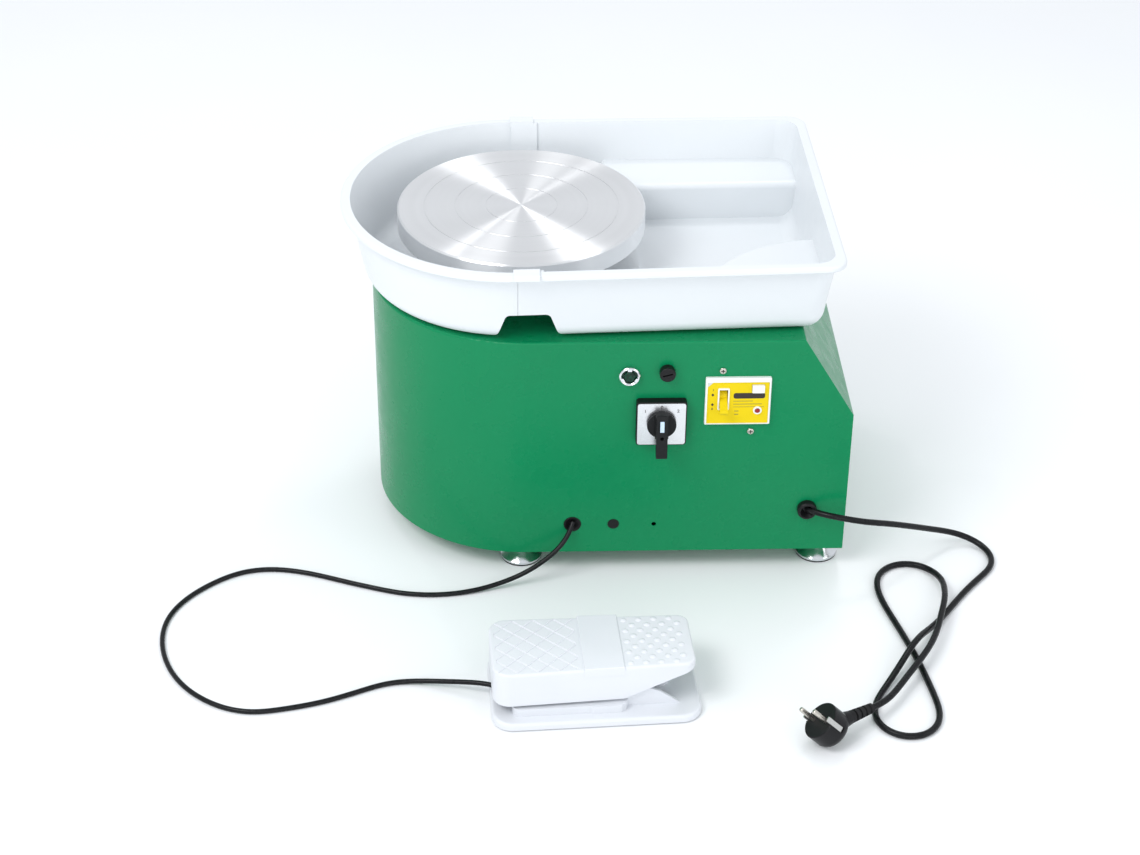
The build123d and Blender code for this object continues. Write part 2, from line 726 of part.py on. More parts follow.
def breaker_screws():
    """Cross-recessed screws above and below the breaker."""
    screws = []
    for place in BREAKER_SCREWS_AT:
        head = fillet(disc(3.5, 0, 2).faces().sort_by(Axis.Z)[-1].edges(), 1.2)
        head -= Pos(0, 0, 1.6) * Box(4.2, 1, 1.4)
        head -= Pos(0, 0, 1.6) * Box(1, 4.2, 1.4)
        screws.append(at_panel(place) * (head + disc(SCREW_R - 0.05, -8, 0)))
    return group(screws)


# ---------------------------------------------------------------- holes low on the panel

def cord_bushing():
    """Black bushing for the pedal's cord, with a flared mouth."""
    bushing = disc(BUSHING_R - 0.1, -7, 0.4) + disc(BUSHING_R + 1.5, -4, -SHEET)
    mouth = turned([(0, -2.4), (3.2, -2.4), (7.6, 0.5), (0, 0.5)])
    return at_panel(PEDAL_EXIT_AT) * (bushing - mouth)


def hole_plug():
    """Flush black button in the spare hole."""
    button = disc(PLUG_BUTTON_R - 0.1, -4, 0.3) + disc(PLUG_BUTTON_R + 1, -3.4, -SHEET)
    return at_panel(PLUGGED_HOLE_AT) * button


def cable_gland():
    """Round-nosed gland with a flared mouth for the mains lead."""
    nose = fillet(disc(10, 0, 7.5).faces().sort_by(Axis.Z)[-1].edges(), 2.6)
    gland = nose + disc(GLAND_THREAD_R - 0.1, -12, 0)
    gland += Pos(0, 0, -SHEET - 5) * extrude(RegularPolygon(12, 6), 5)
    mouth = turned([(0, 1.5), (3.8, 1.5), (7.2, 7.6), (0, 7.6)])
    return at_panel(GLAND_AT) * (gland - mouth)


# ---------------------------------------------------------------- splash pan

def pan_outline(inset, end_inset):
    """D-shaped plan of the rim, drawn in at its sides and at its square end, with round corners."""
    r = RIM_R - inset
    front = (RIM_FRONT_CORNER[0] - end_inset, RIM_FRONT_CORNER[1] + inset)
    back = (RIM_BACK_CORNER[0] - end_inset, RIM_BACK_CORNER[1] - inset)
    edges = [
        CenterArc((RIM_CENTRE_X, 0), r, 90, 180),
        Line((RIM_CENTRE_X, -r), front),
        Line(front, back),
        Line(back, (RIM_CENTRE_X, r)),
    ]
    face = make_face(edges)
    return fillet(face.vertices().sort_by(Axis.X)[-2:], RIM_CORNER_R)


def wall_slice(z, inset, grow=0):
    """Plan inside the pan's walls at one height, drawn in by a further amount if asked."""
    drawn_in = []
    for draft in (radians(PAN_DRAFT), radians(PAN_END_DRAFT)):
        drawn_in.append(RIM_PROUD + (RIM_TOP - RIM_H - z) * tan(draft) + inset / cos(draft) + grow)
    return Pos(0, 0, z) * pan_outline(*drawn_in)


def pan_block(inset):
    """Filled inside of the pan's walls, measured in from their outer face."""
    block = loft([wall_slice(PAN_Z + inset, inset), wall_slice(RIM_TOP + 3, inset)], ruled=True)
    return fillet(block.faces().sort_by(Axis.Z)[0].edges(), PAN_BOTTOM_R - inset)


def ridge(inset):
    """Space under the ridge that crosses the pan from front to back, and under the pan."""
    arch = make_face(
        Polyline(
            (RIDGE_X - RIDGE_BOTTOM_HALF, PAN_Z - 20),
            (RIDGE_X - RIDGE_BOTTOM_HALF, PAN_Z),
            (RIDGE_X - RIDGE_TOP_HALF, PAN_Z + RIDGE_H),
            (RIDGE_X + RIDGE_TOP_HALF, PAN_Z + RIDGE_H),
            (RIDGE_X + RIDGE_BOTTOM_HALF, PAN_Z),
            (RIDGE_X + RIDGE_BOTTOM_HALF, PAN_Z - 20),
            close=True,
        )
    )
    arch = fillet(arch.vertices().group_by(Axis.Y)[-1], 6)
    under = Pos(RIDGE_X, PAN_Z - 10) * Rectangle(160, 20)
    section = arch + under
    inner = [v for v in section.vertices() if abs(v.Y - PAN_Z) < 0.01 and abs(v.X - RIDGE_X) < 40]
    section = fillet(inner, RIDGE_FOOT_R)
    section = offset(section, inset) if inset else section
    return extrude(Plane.XZ.location * section, RIM_R + 20, both=True)


def raised(inset):
    """Spaces under the back shelf, the front corner step and the round floor pad."""
    back = PAN_T - inset
    shelf = Pos(SHELF_LEFT_X + back + 150, SHELF_FRONT_Y + back + 60, 0) * slab(300, 120, 240, SHELF_Z - back)
    shelf = fillet(shelf.edges().filter_by(Axis.Z).sort_by(Axis.X)[:2], 10 - back)
    shelf = fillet(shelf.faces().sort_by(Axis.Z)[-1].edges().sort_by(Axis.Y)[0], 6 - back)
    shelf = Rot(0, 0, SHELF_TURN) * shelf
    step = Pos(*CORNER_STEP_CENTRE) * disc(CORNER_STEP_R - back, 240, CORNER_STEP_Z - back)
    step = fillet(step.faces().sort_by(Axis.Z)[-1].edges(), 6 - back)
    pad = disc(FLOOR_PAD_R - back, 240, PAN_Z + PAN_T + FLOOR_PAD_H - back)
    return shelf, step, pad


def pan_outside():
    """Outside of the moulding: hollow under its raised parts, but with the wall left whole."""
    way_out = extrude(wall_slice(PAN_Z, 0, PAN_BOTTOM_R), 5, both=True)
    room = pan_block(PAN_T) + way_out
    outside = pan_block(0) - ridge(0)
    for space in raised(0):
        outside -= space & room
    return outside


def pan_inside(inset):
    """Everything on the basin's side of a skin that lies inset from the moulding's outside."""
    inside = pan_block(inset) - ridge(inset)
    for space in raised(inset):
        inside -= space
    return inside


def between_x(left, right, top=RIM_TOP):
    """Tall box that keeps a stretch of the pan."""
    return Pos((left + right) / 2, 0, top - 75) * Box(right - left, 2 * RIM_R + 20, 150)


def pan_rim():
    """Flat flange around the top, rounded at its outer edge."""
    flange = Pos(0, 0, RIM_TOP - RIM_H) * extrude(pan_outline(0, 0), RIM_H)
    flange = fillet(flange.faces().sort_by(Axis.Z)[-1].edges(), 2.6)
    return fillet(flange.faces().sort_by(Axis.Z)[0].edges(), 1.5)


def spindle_slot(open_to):
    """Cut for the spindle, open towards the side that the half slides away from."""
    slot = Pos(open_to / 2, 0, 300) * Box(abs(open_to), 2 * SPINDLE_SLOT_R, 120)
    return slot + disc(SPINDLE_SLOT_R, 240, 350)


def splash_pan():
    """Both halves of the pan, and the lap with its tongue that joins them."""
    outside = pan_outside()
    shell = outside + (pan_rim() - pan_block(PAN_T))
    shell -= pan_inside(PAN_T)
    lap_outer = PAN_T + LAP_GAP
    lap_inner = lap_outer + LAP_T
    lap_skin = pan_inside(lap_outer) - pan_inside(lap_inner)
    joggle = (outside - pan_inside(lap_inner)) & between_x(PAN_SEAM_X - 2.5, PAN_SEAM_X)
    left = (shell & between_x(-FAR_X, PAN_SEAM_X)) + joggle
    left += lap_skin & between_x(PAN_SEAM_X - 2.5, LAP_END_X)
    left += tongue(lap_inner)
    left -= spindle_slot(LAP_END_X + 1)
    right = shell & between_x(PAN_SEAM_X + LAP_GAP, FAR_X)
    right -= spindle_slot(PAN_SEAM_X - 1)
    return left, right


def tongue(lap_inner):
    """Cap at each end of the lap, hooked over the other half's rim."""
    low = RIM_TOP - 3.5
    top = RIM_TOP + 2
    cap = Pos(0, 0, low) * extrude(Rectangle(4 * RIM_R, 2 * (RIM_R + 2)), top - low)
    cap = fillet(cap.faces().sort_by(Axis.Z)[-1].edges().filter_by(Axis.X), 1.5)
    cap &= between_x(*TONGUE_X, top)
    cap -= pan_block(lap_inner)
    rim_room = Pos(0, 0, low - 1) * extrude(
        Rectangle(4 * RIM_R, 2 * (RIM_R + LAP_GAP)), RIM_TOP + LAP_GAP - low + 1
    )
    rim_room -= pan_block(PAN_T + LAP_GAP)
    return cap - (rim_room & between_x(TONGUE_X[0] - 1, FAR_X))


# ---------------------------------------------------------------- foot pedal

PEDAL = Pos(*PEDAL_AT, 0) * Rot(0, 0, PEDAL_TURN)
PIVOT = Pos(PEDAL_PIVOT[0], 0, PEDAL_PIVOT[1])


def along_y(radius, length):
    """Cylinder along y, centred."""
    return Rot(90, 0, 0) * Cylinder(radius, length)


def pedal_base():
    """Moulded base: a rounded flange, a stepped housing, pivot ears and two gussets."""
    flange = Pos(0, 0, PEDAL_BASE_Z) * extrude(
        RectangleRounded(PEDAL_L, 2 * PEDAL_BASE_HALF, 20), PEDAL_BASE_TOP - PEDAL_BASE_Z
    )
    flange = fillet(flange.faces().sort_by(Axis.Z)[-1].edges(), 3)
    step = Pos(-26, 0, 0) * slab(110, 89, 5, PEDAL_STEP_Z, 8)
    boss = Pos(9, 0, 0) * slab(32, 92, 5, PEDAL_STEP_Z, 4)
    tower = Pos(-28, 0, 0) * slab(100, 66, 5, 32, 6)
    base = flange + step + boss + tower
    for side in (-1, 1):
        base += Pos(PEDAL_PIVOT[0], side * 33, 22) * Box(18, 5, 26)
        base += PIVOT * Pos(0, side * 33, 0) * along_y(9, 5)
        gusset = make_face(
            Polyline((20, 0, 8), (27, 0, 34), (44, 0, 31), (60, 0, 24), (81, 0, 8), close=True)
        )
        base += Pos(0, side * 34, 0) * extrude(gusset, 1.5, both=True)
    base += Pos(SPRING_X, 0, 0) * tube(10.5, 8.8, 8, 14)
    base += cord_sleeve()
    hollow = Pos(-28, 0, 0) * slab(94, 60, 0, 29, 4)
    base -= hollow
    base -= Pos(-28, 0, 0) * slab(98, 64, PEDAL_BASE_Z, PEDAL_BASE_Z + 2.2, 4)
    base -= PIVOT * along_y(PIN_R + SHAFT_GAP, 90)
    return PEDAL * base


def pedal_cover():
    """Plate that closes the base from below."""
    return PEDAL * Pos(-28, 0, 0) * slab(97.6, 63.6, PEDAL_BASE_Z, PEDAL_BASE_Z + 2, 4)


def pedal_pads():
    """Four rubber pads under the base."""
    pad = disc(8, 0, PEDAL_BASE_Z)
    return group(PEDAL * Pos(sx * 84, sy * 40, 0) * pad for sx in (-1, 1) for sy in (-1, 1))


def treadle_outline(inset):
    """Plan of the treadle, narrowing to the toe, with round corners."""
    face = make_face(
        Polyline(
            (TREADLE_HEEL_X + inset, TREADLE_HEEL_HALF - inset),
            (TREADLE_HEEL_X + inset, inset - TREADLE_HEEL_HALF),
            (TREADLE_TOE_X - inset, inset - TREADLE_TOE_HALF),
            (TREADLE_TOE_X - inset, TREADLE_TOE_HALF - inset),
            close=True,
        )
    )
    face = fillet(face.vertices().sort_by(Axis.X)[:2], 17 - inset)
    return fillet(face.vertices().sort_by(Axis.X)[-2:], 11 - inset)


def diamond_grooves():
    """Two crossed sets of V grooves over the heel end."""
    reach = 130
    grooves = []
    for turn in (45, -45):
        for row in range(-6, 7):
            cutter = Rot(45, 0, 0) * Box(reach, GROOVE_W, GROOVE_W)
            shift = Pos(-56, 0, TREADLE_TOP + GROOVE_W * 0.707 - GROOVE_DEPTH)
            grooves.append(shift * Rot(0, 0, turn) * Pos(0, DIAMOND_PITCH * row, 0) * cutter)
    field = Pos((TREADLE_HEEL_X + BAND_X[0]) / 2, 0, TREADLE_TOP)
    keep = field * Box(BAND_X[0] - TREADLE_HEEL_X - 9, 2 * TREADLE_HEEL_HALF - 9, 6)
    return [groove & keep for groove in grooves]


def bumps():
    """Low domes in staggered rows over the toe end."""
    sphere_r = (BUMP_R**2 + BUMP_H**2) / (2 * BUMP_H)
    dome = Pos(0, 0, TREADLE_TOP + BUMP_H - sphere_r) * Sphere(sphere_r)
    dome &= disc(BUMP_R, TREADLE_TOP - 0.5, TREADLE_TOP + BUMP_H + 1)
    domes = []
    for row in range(-4, 5):
        start = BAND_X[1] + 6 + (row % 2) * BUMP_PITCH[0] / 2
        for column in range(4):
            x = start + BUMP_PITCH[0] * column
            domes.append(Pos(x, BUMP_PITCH[1] * row, 0) * dome)
    return domes


def pedal_treadle():
    """Hollow treadle: diamond heel, smooth band and studded toe over a skirt that tapers."""
    shell = Pos(0, 0, TREADLE_SKIRT_Z) * extrude(treadle_outline(0), TREADLE_TOP - TREADLE_SKIRT_Z)
    shell = fillet(shell.faces().sort_by(Axis.Z)[-1].edges(), 2.5)
    shell -= Pos(0, 0, TREADLE_SKIRT_Z) * extrude(
        treadle_outline(TREADLE_T), TREADLE_TOP - TREADLE_T - TREADLE_SKIRT_Z
    )
    taper = make_face(
        Polyline(
            (BAND_X[1], 0, TREADLE_SKIRT_Z - 1), (BAND_X[1], 0, TREADLE_SKIRT_Z),
            (TREADLE_TOE_X + 1, 0, TREADLE_TOE_Z), (TREADLE_TOE_X + 1, 0, TREADLE_SKIRT_Z - 1),
            close=True,
        )
    )
    shell -= extrude(taper, 60, both=True)
    strip = Pos((BAND_X[0] + BAND_X[1]) / 2, 0) * Rectangle(BAND_X[1] - BAND_X[0], 120)
    band = treadle_outline(-0.6) & strip
    band = Pos(0, 0, TREADLE_TOP - 8) * extrude(band, 8 + BAND_H)
    band = fillet(band.faces().sort_by(Axis.Z)[-1].edges(), 1)
    shell += band - Pos(0, 0, TREADLE_TOP - 9) * extrude(treadle_outline(TREADLE_T), 9 - TREADLE_T)
    inside = Pos(0, 0, TREADLE_SKIRT_Z) * extrude(treadle_outline(1), TREADLE_TOP - TREADLE_SKIRT_Z - 1)
    for side in (-1, 1):
        hanger = Pos(PEDAL_PIVOT[0], side * 38.5, 43) * Box(16, 5, 25)
        hanger += PIVOT * Pos(0, side * 38.5, 0) * along_y(8, 5)
        shell += hanger & inside
    shell += Pos(SPRING_X, 0, TREADLE_TOP - TREADLE_T - 4) * Cylinder(5.5, 9)
    for groove in diamond_grooves():
        shell -= groove
    for dome in bumps():
        shell += dome
    return PEDAL * (shell - PIVOT * along_y(PIN_R + SHAFT_GAP, 80.5))


def pedal_pin():
    """Steel pin through the base's ears into the treadle's hangers."""
    return PEDAL * PIVOT * along_y(PIN_R, 80)


def pedal_spring():
    """Compression spring between the base and the toe."""
    low = PEDAL_BASE_TOP + SPRING_WIRE_R + 0.1
    height = TREADLE_TOP - TREADLE_T - RUN_GAP - SPRING_WIRE_R - low
    coil = Helix(pitch=height / SPRING_TURNS, height=height, radius=SPRING_R)
    wire = sweep(Plane(coil @ 0, z_dir=coil % 0) * Circle(SPRING_WIRE_R), path=coil, is_frenet=True)
    return PEDAL * Pos(SPRING_X, 0, low) * wire


def sensor_board():
    """Small board with the Hall sensor, inside the base's housing."""
    board = Pos(-45, 0, 12) * extrude(RectangleRounded(40, 30, 2), 1.6)
    chip = Pos(-45, 0, 13.6) * extrude(Rectangle(6, 5), 2)
    post = disc(2.2, PEDAL_BASE_Z + 2, 12)
    for sx in (-1, 1):
        for sy in (-1, 1):
            board += Pos(-45 + sx * 16, sy * 11, 0) * post
    return PEDAL * (board + chip)


def treadle_magnet():
    """Magnet under the heel, above the sensor."""
    return PEDAL * Pos(-45, 0, 0) * disc(5, TREADLE_TOP - TREADLE_T - 14, TREADLE_TOP - TREADLE_T)


def cord_sleeve():
    """Short sleeve on the end of the pedal's housing, where the cord goes in."""
    return Pos(-80, -7, 14.5) * Rot(0, -90, 0) * turned([(0, 0), (3.6, 0), (3.2, 8), (0, 8)])


# ---------------------------------------------------------------- plug

def plug_frame():
    """Frame at the middle of the plug's face: z along the pins, the cord leaving towards +x."""
    pins = Vector(*PLUG_PIN_DIR).normalized()
    cord = Vector(*PLUG_CORD_DIR).normalized()
    across = (cord - pins * cord.dot(pins)).normalized()
    return Plane(origin=PLUG_FACE, x_dir=across, z_dir=pins)


def plug_cord_plane(distance):
    """Plane across the cord's axis, a distance along it from the middle of the plug."""
    pins = Vector(*PLUG_PIN_DIR).normalized()
    cord = Vector(*PLUG_CORD_DIR).normalized()
    middle = Vector(*PLUG_FACE) - pins * (PLUG_T / 2)
    return Plane(origin=middle + cord * distance, z_dir=cord)


def plug_body():
    """Moulded round body with earth-clip flats and a neck towards the cord."""
    body = disc(PLUG_R, -PLUG_T, 0)
    body = fillet(body.faces().sort_by(Axis.Z)[0].edges(), 9)
    body = fillet(body.faces().sort_by(Axis.Z)[-1].edges(), 1)
    for side in (-1, 1):
        body -= Pos(0, side * PLUG_R, -4) * Box(6, 5, 22)
        body -= Pos(0, side * PLUG_PIN_SPACING / 2, 0) * disc(PIN_ROOT_R + SHAFT_GAP, -PIN_ROOT_L, 0)
    body = plug_frame().location * body
    neck = loft([plug_cord_plane(6) * Circle(10), plug_cord_plane(STRAIN_START) * Circle(6.6)])
    return body + neck


def plug_pins():
    """Two round pins."""
    pin = disc(PLUG_PIN_R, 0, PLUG_PIN_L)
    pin = fillet(pin.faces().sort_by(Axis.Z)[-1].edges(), 1.6) + disc(PIN_ROOT_R, -PIN_ROOT_L, 0)
    frame = plug_frame().location
    return group(frame * Pos(0, side * PLUG_PIN_SPACING / 2, 0) * pin for side in (-1, 1))


def plug_earth_clips():
    """Spring contacts in the two flats."""
    clip = slab(5, 1.2, -14, 6)
    frame = plug_frame().location
    return group(frame * Pos(0, side * (PLUG_R - 1.85), 0) * clip for side in (-1, 1))


def plug_strain_relief():
    """Tapered sleeve with ring grooves."""
    length = STRAIN_END - STRAIN_START
    sleeve = turned([(0, 0), (6.4, 0), (4.9, length), (0, length)])
    for ring in range(4):
        z = 4.5 + 6 * ring
        sleeve -= tube(9, 4.4, z, z + 2)
    return plug_cord_plane(STRAIN_START).location * sleeve


# ---------------------------------------------------------------- cords

def gland_point():
    x, height = GLAND_AT
    return x, PANEL_Y - 1.6, CASE_Z + height


PEDAL_CORD_POINTS = [
    (49.5, -151, 61), (46, -157.5, 53.5), (40.5, -162.5, 45.5), (33, -167, 38), (24, -170.5, 31),
    (12, -173.5, 22.5), (-3, -176, 14), (-20, -179.5, 8), (-43, -185.5, 3.6),
    (-68, -191.5, PEDAL_FLOOR_Z), (-96, -194, PEDAL_FLOOR_Z), (-126, -190.5, PEDAL_FLOOR_Z),
    (-154, -180.5, PEDAL_FLOOR_Z), (-183, -169.5, PEDAL_FLOOR_Z), (-213, -156.5, PEDAL_FLOOR_Z),
    (-242, -147.5, PEDAL_FLOOR_Z), (-270, -145, PEDAL_FLOOR_Z), (-297, -152, PEDAL_FLOOR_Z),
    (-322, -170.5, PEDAL_FLOOR_Z), (-343, -192.5, PEDAL_FLOOR_Z), (-358, -220, PEDAL_FLOOR_Z),
    (-362.5, -252, PEDAL_FLOOR_Z), (-356.5, -288, PEDAL_FLOOR_Z), (-342, -321, PEDAL_FLOOR_Z),
    (-321, -347, PEDAL_FLOOR_Z), (-293, -367, PEDAL_FLOOR_Z), (-263, -375.5, PEDAL_FLOOR_Z),
    (-231, -369.5, PEDAL_FLOOR_Z), (-197, -361, PEDAL_FLOOR_Z), (-165, -346.5, PEDAL_FLOOR_Z),
    (-137, -332.5, PEDAL_FLOOR_Z), (-108, -331, 3.2), (-82, -337.5, 7), (-58, -345.5, 12.5),
    (-38, -351.5, 15),
]


def pedal_entry():
    """Outer end of the sleeve on the pedal, where the cord goes in."""
    tip = (PEDAL * Pos(-88, -7, 14.5)).position
    return tip.X, tip.Y, tip.Z


MAINS_CORD_POINTS = [
    (299, -165.5, 78), (313.5, -172, 78.5), (331, -174.5, 76), (350, -170, 69.5), (371, -159, 60),
    (394, -145, 47), (416, -131, 33.5), (436, -118.5, 21.5), (453.5, -111, 12.5),
    (470.5, -114.5, 7), (483, -126, 3.8), (487.5, -143, MAINS_FLOOR_Z),
    (482.5, -160.5, MAINS_FLOOR_Z), (469, -176, MAINS_FLOOR_Z), (451.5, -196, MAINS_FLOOR_Z),
    (435, -219, MAINS_FLOOR_Z), (418.5, -243, MAINS_FLOOR_Z), (402.5, -266, 7.5),
    (387, -288.5, MAINS_OVER_Z), (373.5, -310.5, MAINS_OVER_Z), (359, -332.5, 9), (344, -354, 4),
    (331.5, -375, MAINS_FLOOR_Z), (328.5, -397, MAINS_FLOOR_Z), (336.5, -415, MAINS_FLOOR_Z),
    (353, -425, MAINS_FLOOR_Z), (372.5, -423.5, MAINS_FLOOR_Z), (387, -410.5, MAINS_FLOOR_Z),
    (393, -390.5, MAINS_FLOOR_Z), (391, -365, MAINS_FLOOR_Z), (387.5, -338, MAINS_FLOOR_Z),
    (383.5, -311, MAINS_FLOOR_Z), (377.5, -282, MAINS_FLOOR_Z), (371, -254, MAINS_FLOOR_Z),
    (364.5, -228, MAINS_FLOOR_Z), (360, -204, MAINS_FLOOR_Z), (360, -180, MAINS_FLOOR_Z),
    (369, -161.5, MAINS_FLOOR_Z), (386, -151, MAINS_FLOOR_Z), (405.5, -152, MAINS_FLOOR_Z),
    (420.5, -164, 3.8), (427.5, -183, 7), (426.5, -205, 12), (422.5, -229, MAINS_OVER_Z),
    (415, -252.5, MAINS_OVER_Z), (407, -278, 14.5), (396, -303.5, MAINS_OVER_Z),
    (381.5, -327, MAINS_OVER_Z), (366, -349, 15), (352.5, -371, 15.5),
]


def corner_radii(points):
    """Largest arc that the two runs at each corner leave room for."""
    knots = [Vector(*p) for p in points]
    radii = []
    for before, here, after in zip(knots, knots[1:], knots[2:]):
        first = here - before
        second = after - here
        half_turn = radians(first.get_angle(second)) / 2
        radii.append(0.45 * min(first.length, second.length) / tan(half_turn))
    return radii


def cord(name, points, diameter):
    """Round cord along straight runs joined by arcs."""
    radii = corner_radii(points)
    path = FilletPolyline(*points, radius=radii)
    solid = sweep(Plane(path @ 0, z_dir=path % 0) * Circle(diameter / 2), path=path)
    expected = path.length * pi * diameter**2 / 4
    smallest = [round(radius) for radius in sorted(radii)[:5]]
    ratio = round(solid.volume / expected, 4)
    print(name, "length", round(path.length), "smallest radii", smallest, "volume ratio", ratio)
    return solid


def pedal_cord():
    return cord("pedal_cord", PEDAL_CORD_POINTS + [pedal_entry()], PEDAL_CORD_D)


def mains_cord():
    tip = plug_cord_plane(STRAIN_END).origin
    before_tip = plug_cord_plane(STRAIN_END + 18).origin
    points = [gland_point()] + MAINS_CORD_POINTS
    points += [(before_tip.X, before_tip.Y, before_tip.Z), (tip.X, tip.Y, tip.Z)]
    return cord("mains_cord", points, MAINS_CORD_D)


# ---------------------------------------------------------------- write every node

pan_left, pan_right = splash_pan()
NODES = {
    "case_shell": case_shell(),
    "base_plate": base_plate(),
    "case_screws": case_screws(),
    "foot_pads": group(at_feet(disc(FOOT_R - 0.5, 0, FOOT_PAD_H))),
    "feet": group(at_feet(foot())),
    "foot_bolts": group(at_feet(foot_bolt())),
    "wheel_head": wheel_head(),
    "hub_screws": hub_screws(),
    "spindle": spindle(),
    "spindle_bearings": group([bearing(UPPER_BEARING_Z), bearing(LOWER_BEARING_Z)]),
    "bearing_housing": bearing_housing(),
    "spindle_seal": spindle_seal(),
    "housing_bolts": housing_bolts(),
    "retaining_nut": retaining_nut(),
    "driven_pulley": Pos(0, 0, BELT_Z) * pulley(DRIVEN_R, SPINDLE_R, 5, 6),
    "motor_pulley": Pos(MOTOR_X, 0, BELT_Z) * pulley(MOTOR_PULLEY_R, MOTOR_SHAFT_R, 5, 0),
    "drive_belt": drive_belt(),
    "motor_body": motor_body(),
    "motor_shaft": motor_shaft(),
    "motor_bracket": motor_bracket(),
    "motor_screws": motor_screws(),
    "controller_board": controller_board(),
    "board_heatsink": board_heatsink(),
    "lamp_bezel": lamp_bezel(),
    "lamp_lens": lamp_lens(),
    "fuse_holder": fuse_holder(),
    "fuse_cap": fuse_cap(),
    "fuse_cartridge": fuse_cartridge(),
    "switch_base": switch_base(),
    "switch_plate": switch_plate(),
    "switch_body": switch_body(),
    "switch_knob": switch_knob(),
    "knob_marker": knob_marker(),
    "breaker_body": breaker_body(),
    "breaker_frame": breaker_frame(),
    "breaker_face": breaker_face(),
    "breaker_trims": breaker_trims(),
    "breaker_toggle": breaker_toggle(),
    "test_key": test_key(),
    "reset_button": reset_button(),
    "breaker_screws": breaker_screws(),
    "cord_bushing": cord_bushing(),
    "hole_plug": hole_plug(),
    "cable_gland": cable_gland(),
    "pan_left": pan_left,
    "pan_right": pan_right,
    "pedal_base": pedal_base(),
    "pedal_cover": pedal_cover(),
    "pedal_pads": pedal_pads(),
    "pedal_treadle": pedal_treadle(),
    "pedal_pin": pedal_pin(),
    "pedal_spring": pedal_spring(),
    "sensor_board": sensor_board(),
    "treadle_magnet": treadle_magnet(),
    "plug_body": plug_body(),
    "plug_pins": plug_pins(),
    "plug_earth_clips": plug_earth_clips(),
    "plug_strain_relief": plug_strain_relief(),
    "pedal_cord": pedal_cord(),
    "mains_cord": mains_cord(),
}
for node, shape in NODES.items():
    save(node, shape)
print(len(NODES), "nodes")
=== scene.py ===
import json
from math import cos, pi, radians, sin

import bmesh
import bpy
from mathutils import Matrix, Vector


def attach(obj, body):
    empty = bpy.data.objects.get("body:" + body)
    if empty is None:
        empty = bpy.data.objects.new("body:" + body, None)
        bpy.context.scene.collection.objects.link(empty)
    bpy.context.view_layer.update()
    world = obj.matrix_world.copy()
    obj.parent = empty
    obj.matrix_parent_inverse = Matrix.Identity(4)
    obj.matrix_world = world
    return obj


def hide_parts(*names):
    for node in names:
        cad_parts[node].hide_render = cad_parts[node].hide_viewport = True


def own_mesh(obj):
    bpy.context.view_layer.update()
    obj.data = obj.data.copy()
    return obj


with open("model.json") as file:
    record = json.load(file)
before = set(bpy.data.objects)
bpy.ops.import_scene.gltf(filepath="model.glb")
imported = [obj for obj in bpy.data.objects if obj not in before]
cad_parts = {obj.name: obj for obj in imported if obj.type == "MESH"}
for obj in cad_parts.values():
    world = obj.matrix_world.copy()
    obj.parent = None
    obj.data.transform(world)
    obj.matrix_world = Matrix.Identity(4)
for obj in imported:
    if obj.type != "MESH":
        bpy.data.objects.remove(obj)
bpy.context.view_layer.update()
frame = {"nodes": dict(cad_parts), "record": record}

NODES = frame["nodes"]

# Layout: the wheel's axis is x = y = 0 and lengths are in millimetres, as in the part's source.
# place() turns a layout point into the frame's metres.
ORIGIN = Vector((-73, 116, 0))
CASE_Z = 25
PANEL_Y = -152.5
SWITCH_AT = (135.5, 161)
BREAKER_AT = (210.8, 183)
PLATE_OUT = 9.5
FACE_OUT = 3.0
MARK_T = 0.06
CORNER_STEPS = 4
BREAKER_DIGIT = 0.0036
SWITCH_DIGIT = 0.0048
DIAMOND_X = -25.1
BREAKER_SCREWS_AT = [(195, 217), (225.3, 146)]
RECESS_OUT = 0.92

MAINS_D = 6.4
PEDAL_D = 5.0
MAINS_FLOOR_Z = MAINS_D / 2
PEDAL_FLOOR_Z = PEDAL_D / 2
MAINS_OVER_Z = MAINS_FLOOR_Z + 2 * MAINS_D
PEDAL_AT = (63, -345.5)
PEDAL_TURN = 3.3
PEDAL_ENTRY = (-88, -7, 14.5)
PLUG_FACE = Vector((271, -428.5, 28.5))
PLUG_PIN_DIR = Vector((-0.70, -0.05, 0.71)).normalized()
PLUG_CORD_DIR = Vector((0.83, 0.55, -0.06)).normalized()
PLUG_T = 24
STRAIN_END = 54

CAMERA_AT = (-0.1015, -2.0032, 1.4617)
CAMERA_PITCH = 33.131
CAMERA_YAW = 2.152
CAMERA_ROLL = 0.547
LENS = 74.76
SENSOR_WIDTH = 36
WORLD_COLOUR = (0.93, 0.96, 1.0)
WORLD_STRENGTH = 0.85
FLOOR_SIZE = 9
MACHINE = (0, 0, 0.2)
WHEEL = (-0.07, 0.12, 0.35)
LIGHTS = [
    # name, place, target, size, power
    ("key_light", (-1.3, -1.2, 2.2), MACHINE, (1.3, 1.0), 31),
    ("fill_light", (1.9, -0.9, 1.3), MACHINE, (0.9, 1.4), 5),
    ("front_light", (0.3, -2.5, 0.8), MACHINE, (1.8, 0.8), 10),
    ("wide_softbox", (0.443, 0.832, 1.81), WHEEL, (0.34, 0.34), 4.0),
    ("narrow_softbox", (-0.629, 0.888, 1.77), WHEEL, (0.05, 0.05), 1.1),
]


def place(x, y, z):
    """Layout millimetres to frame metres."""
    return (Vector((x, y, z)) + ORIGIN) / 1000


# ---------------------------------------------------------------- camera, floor and light

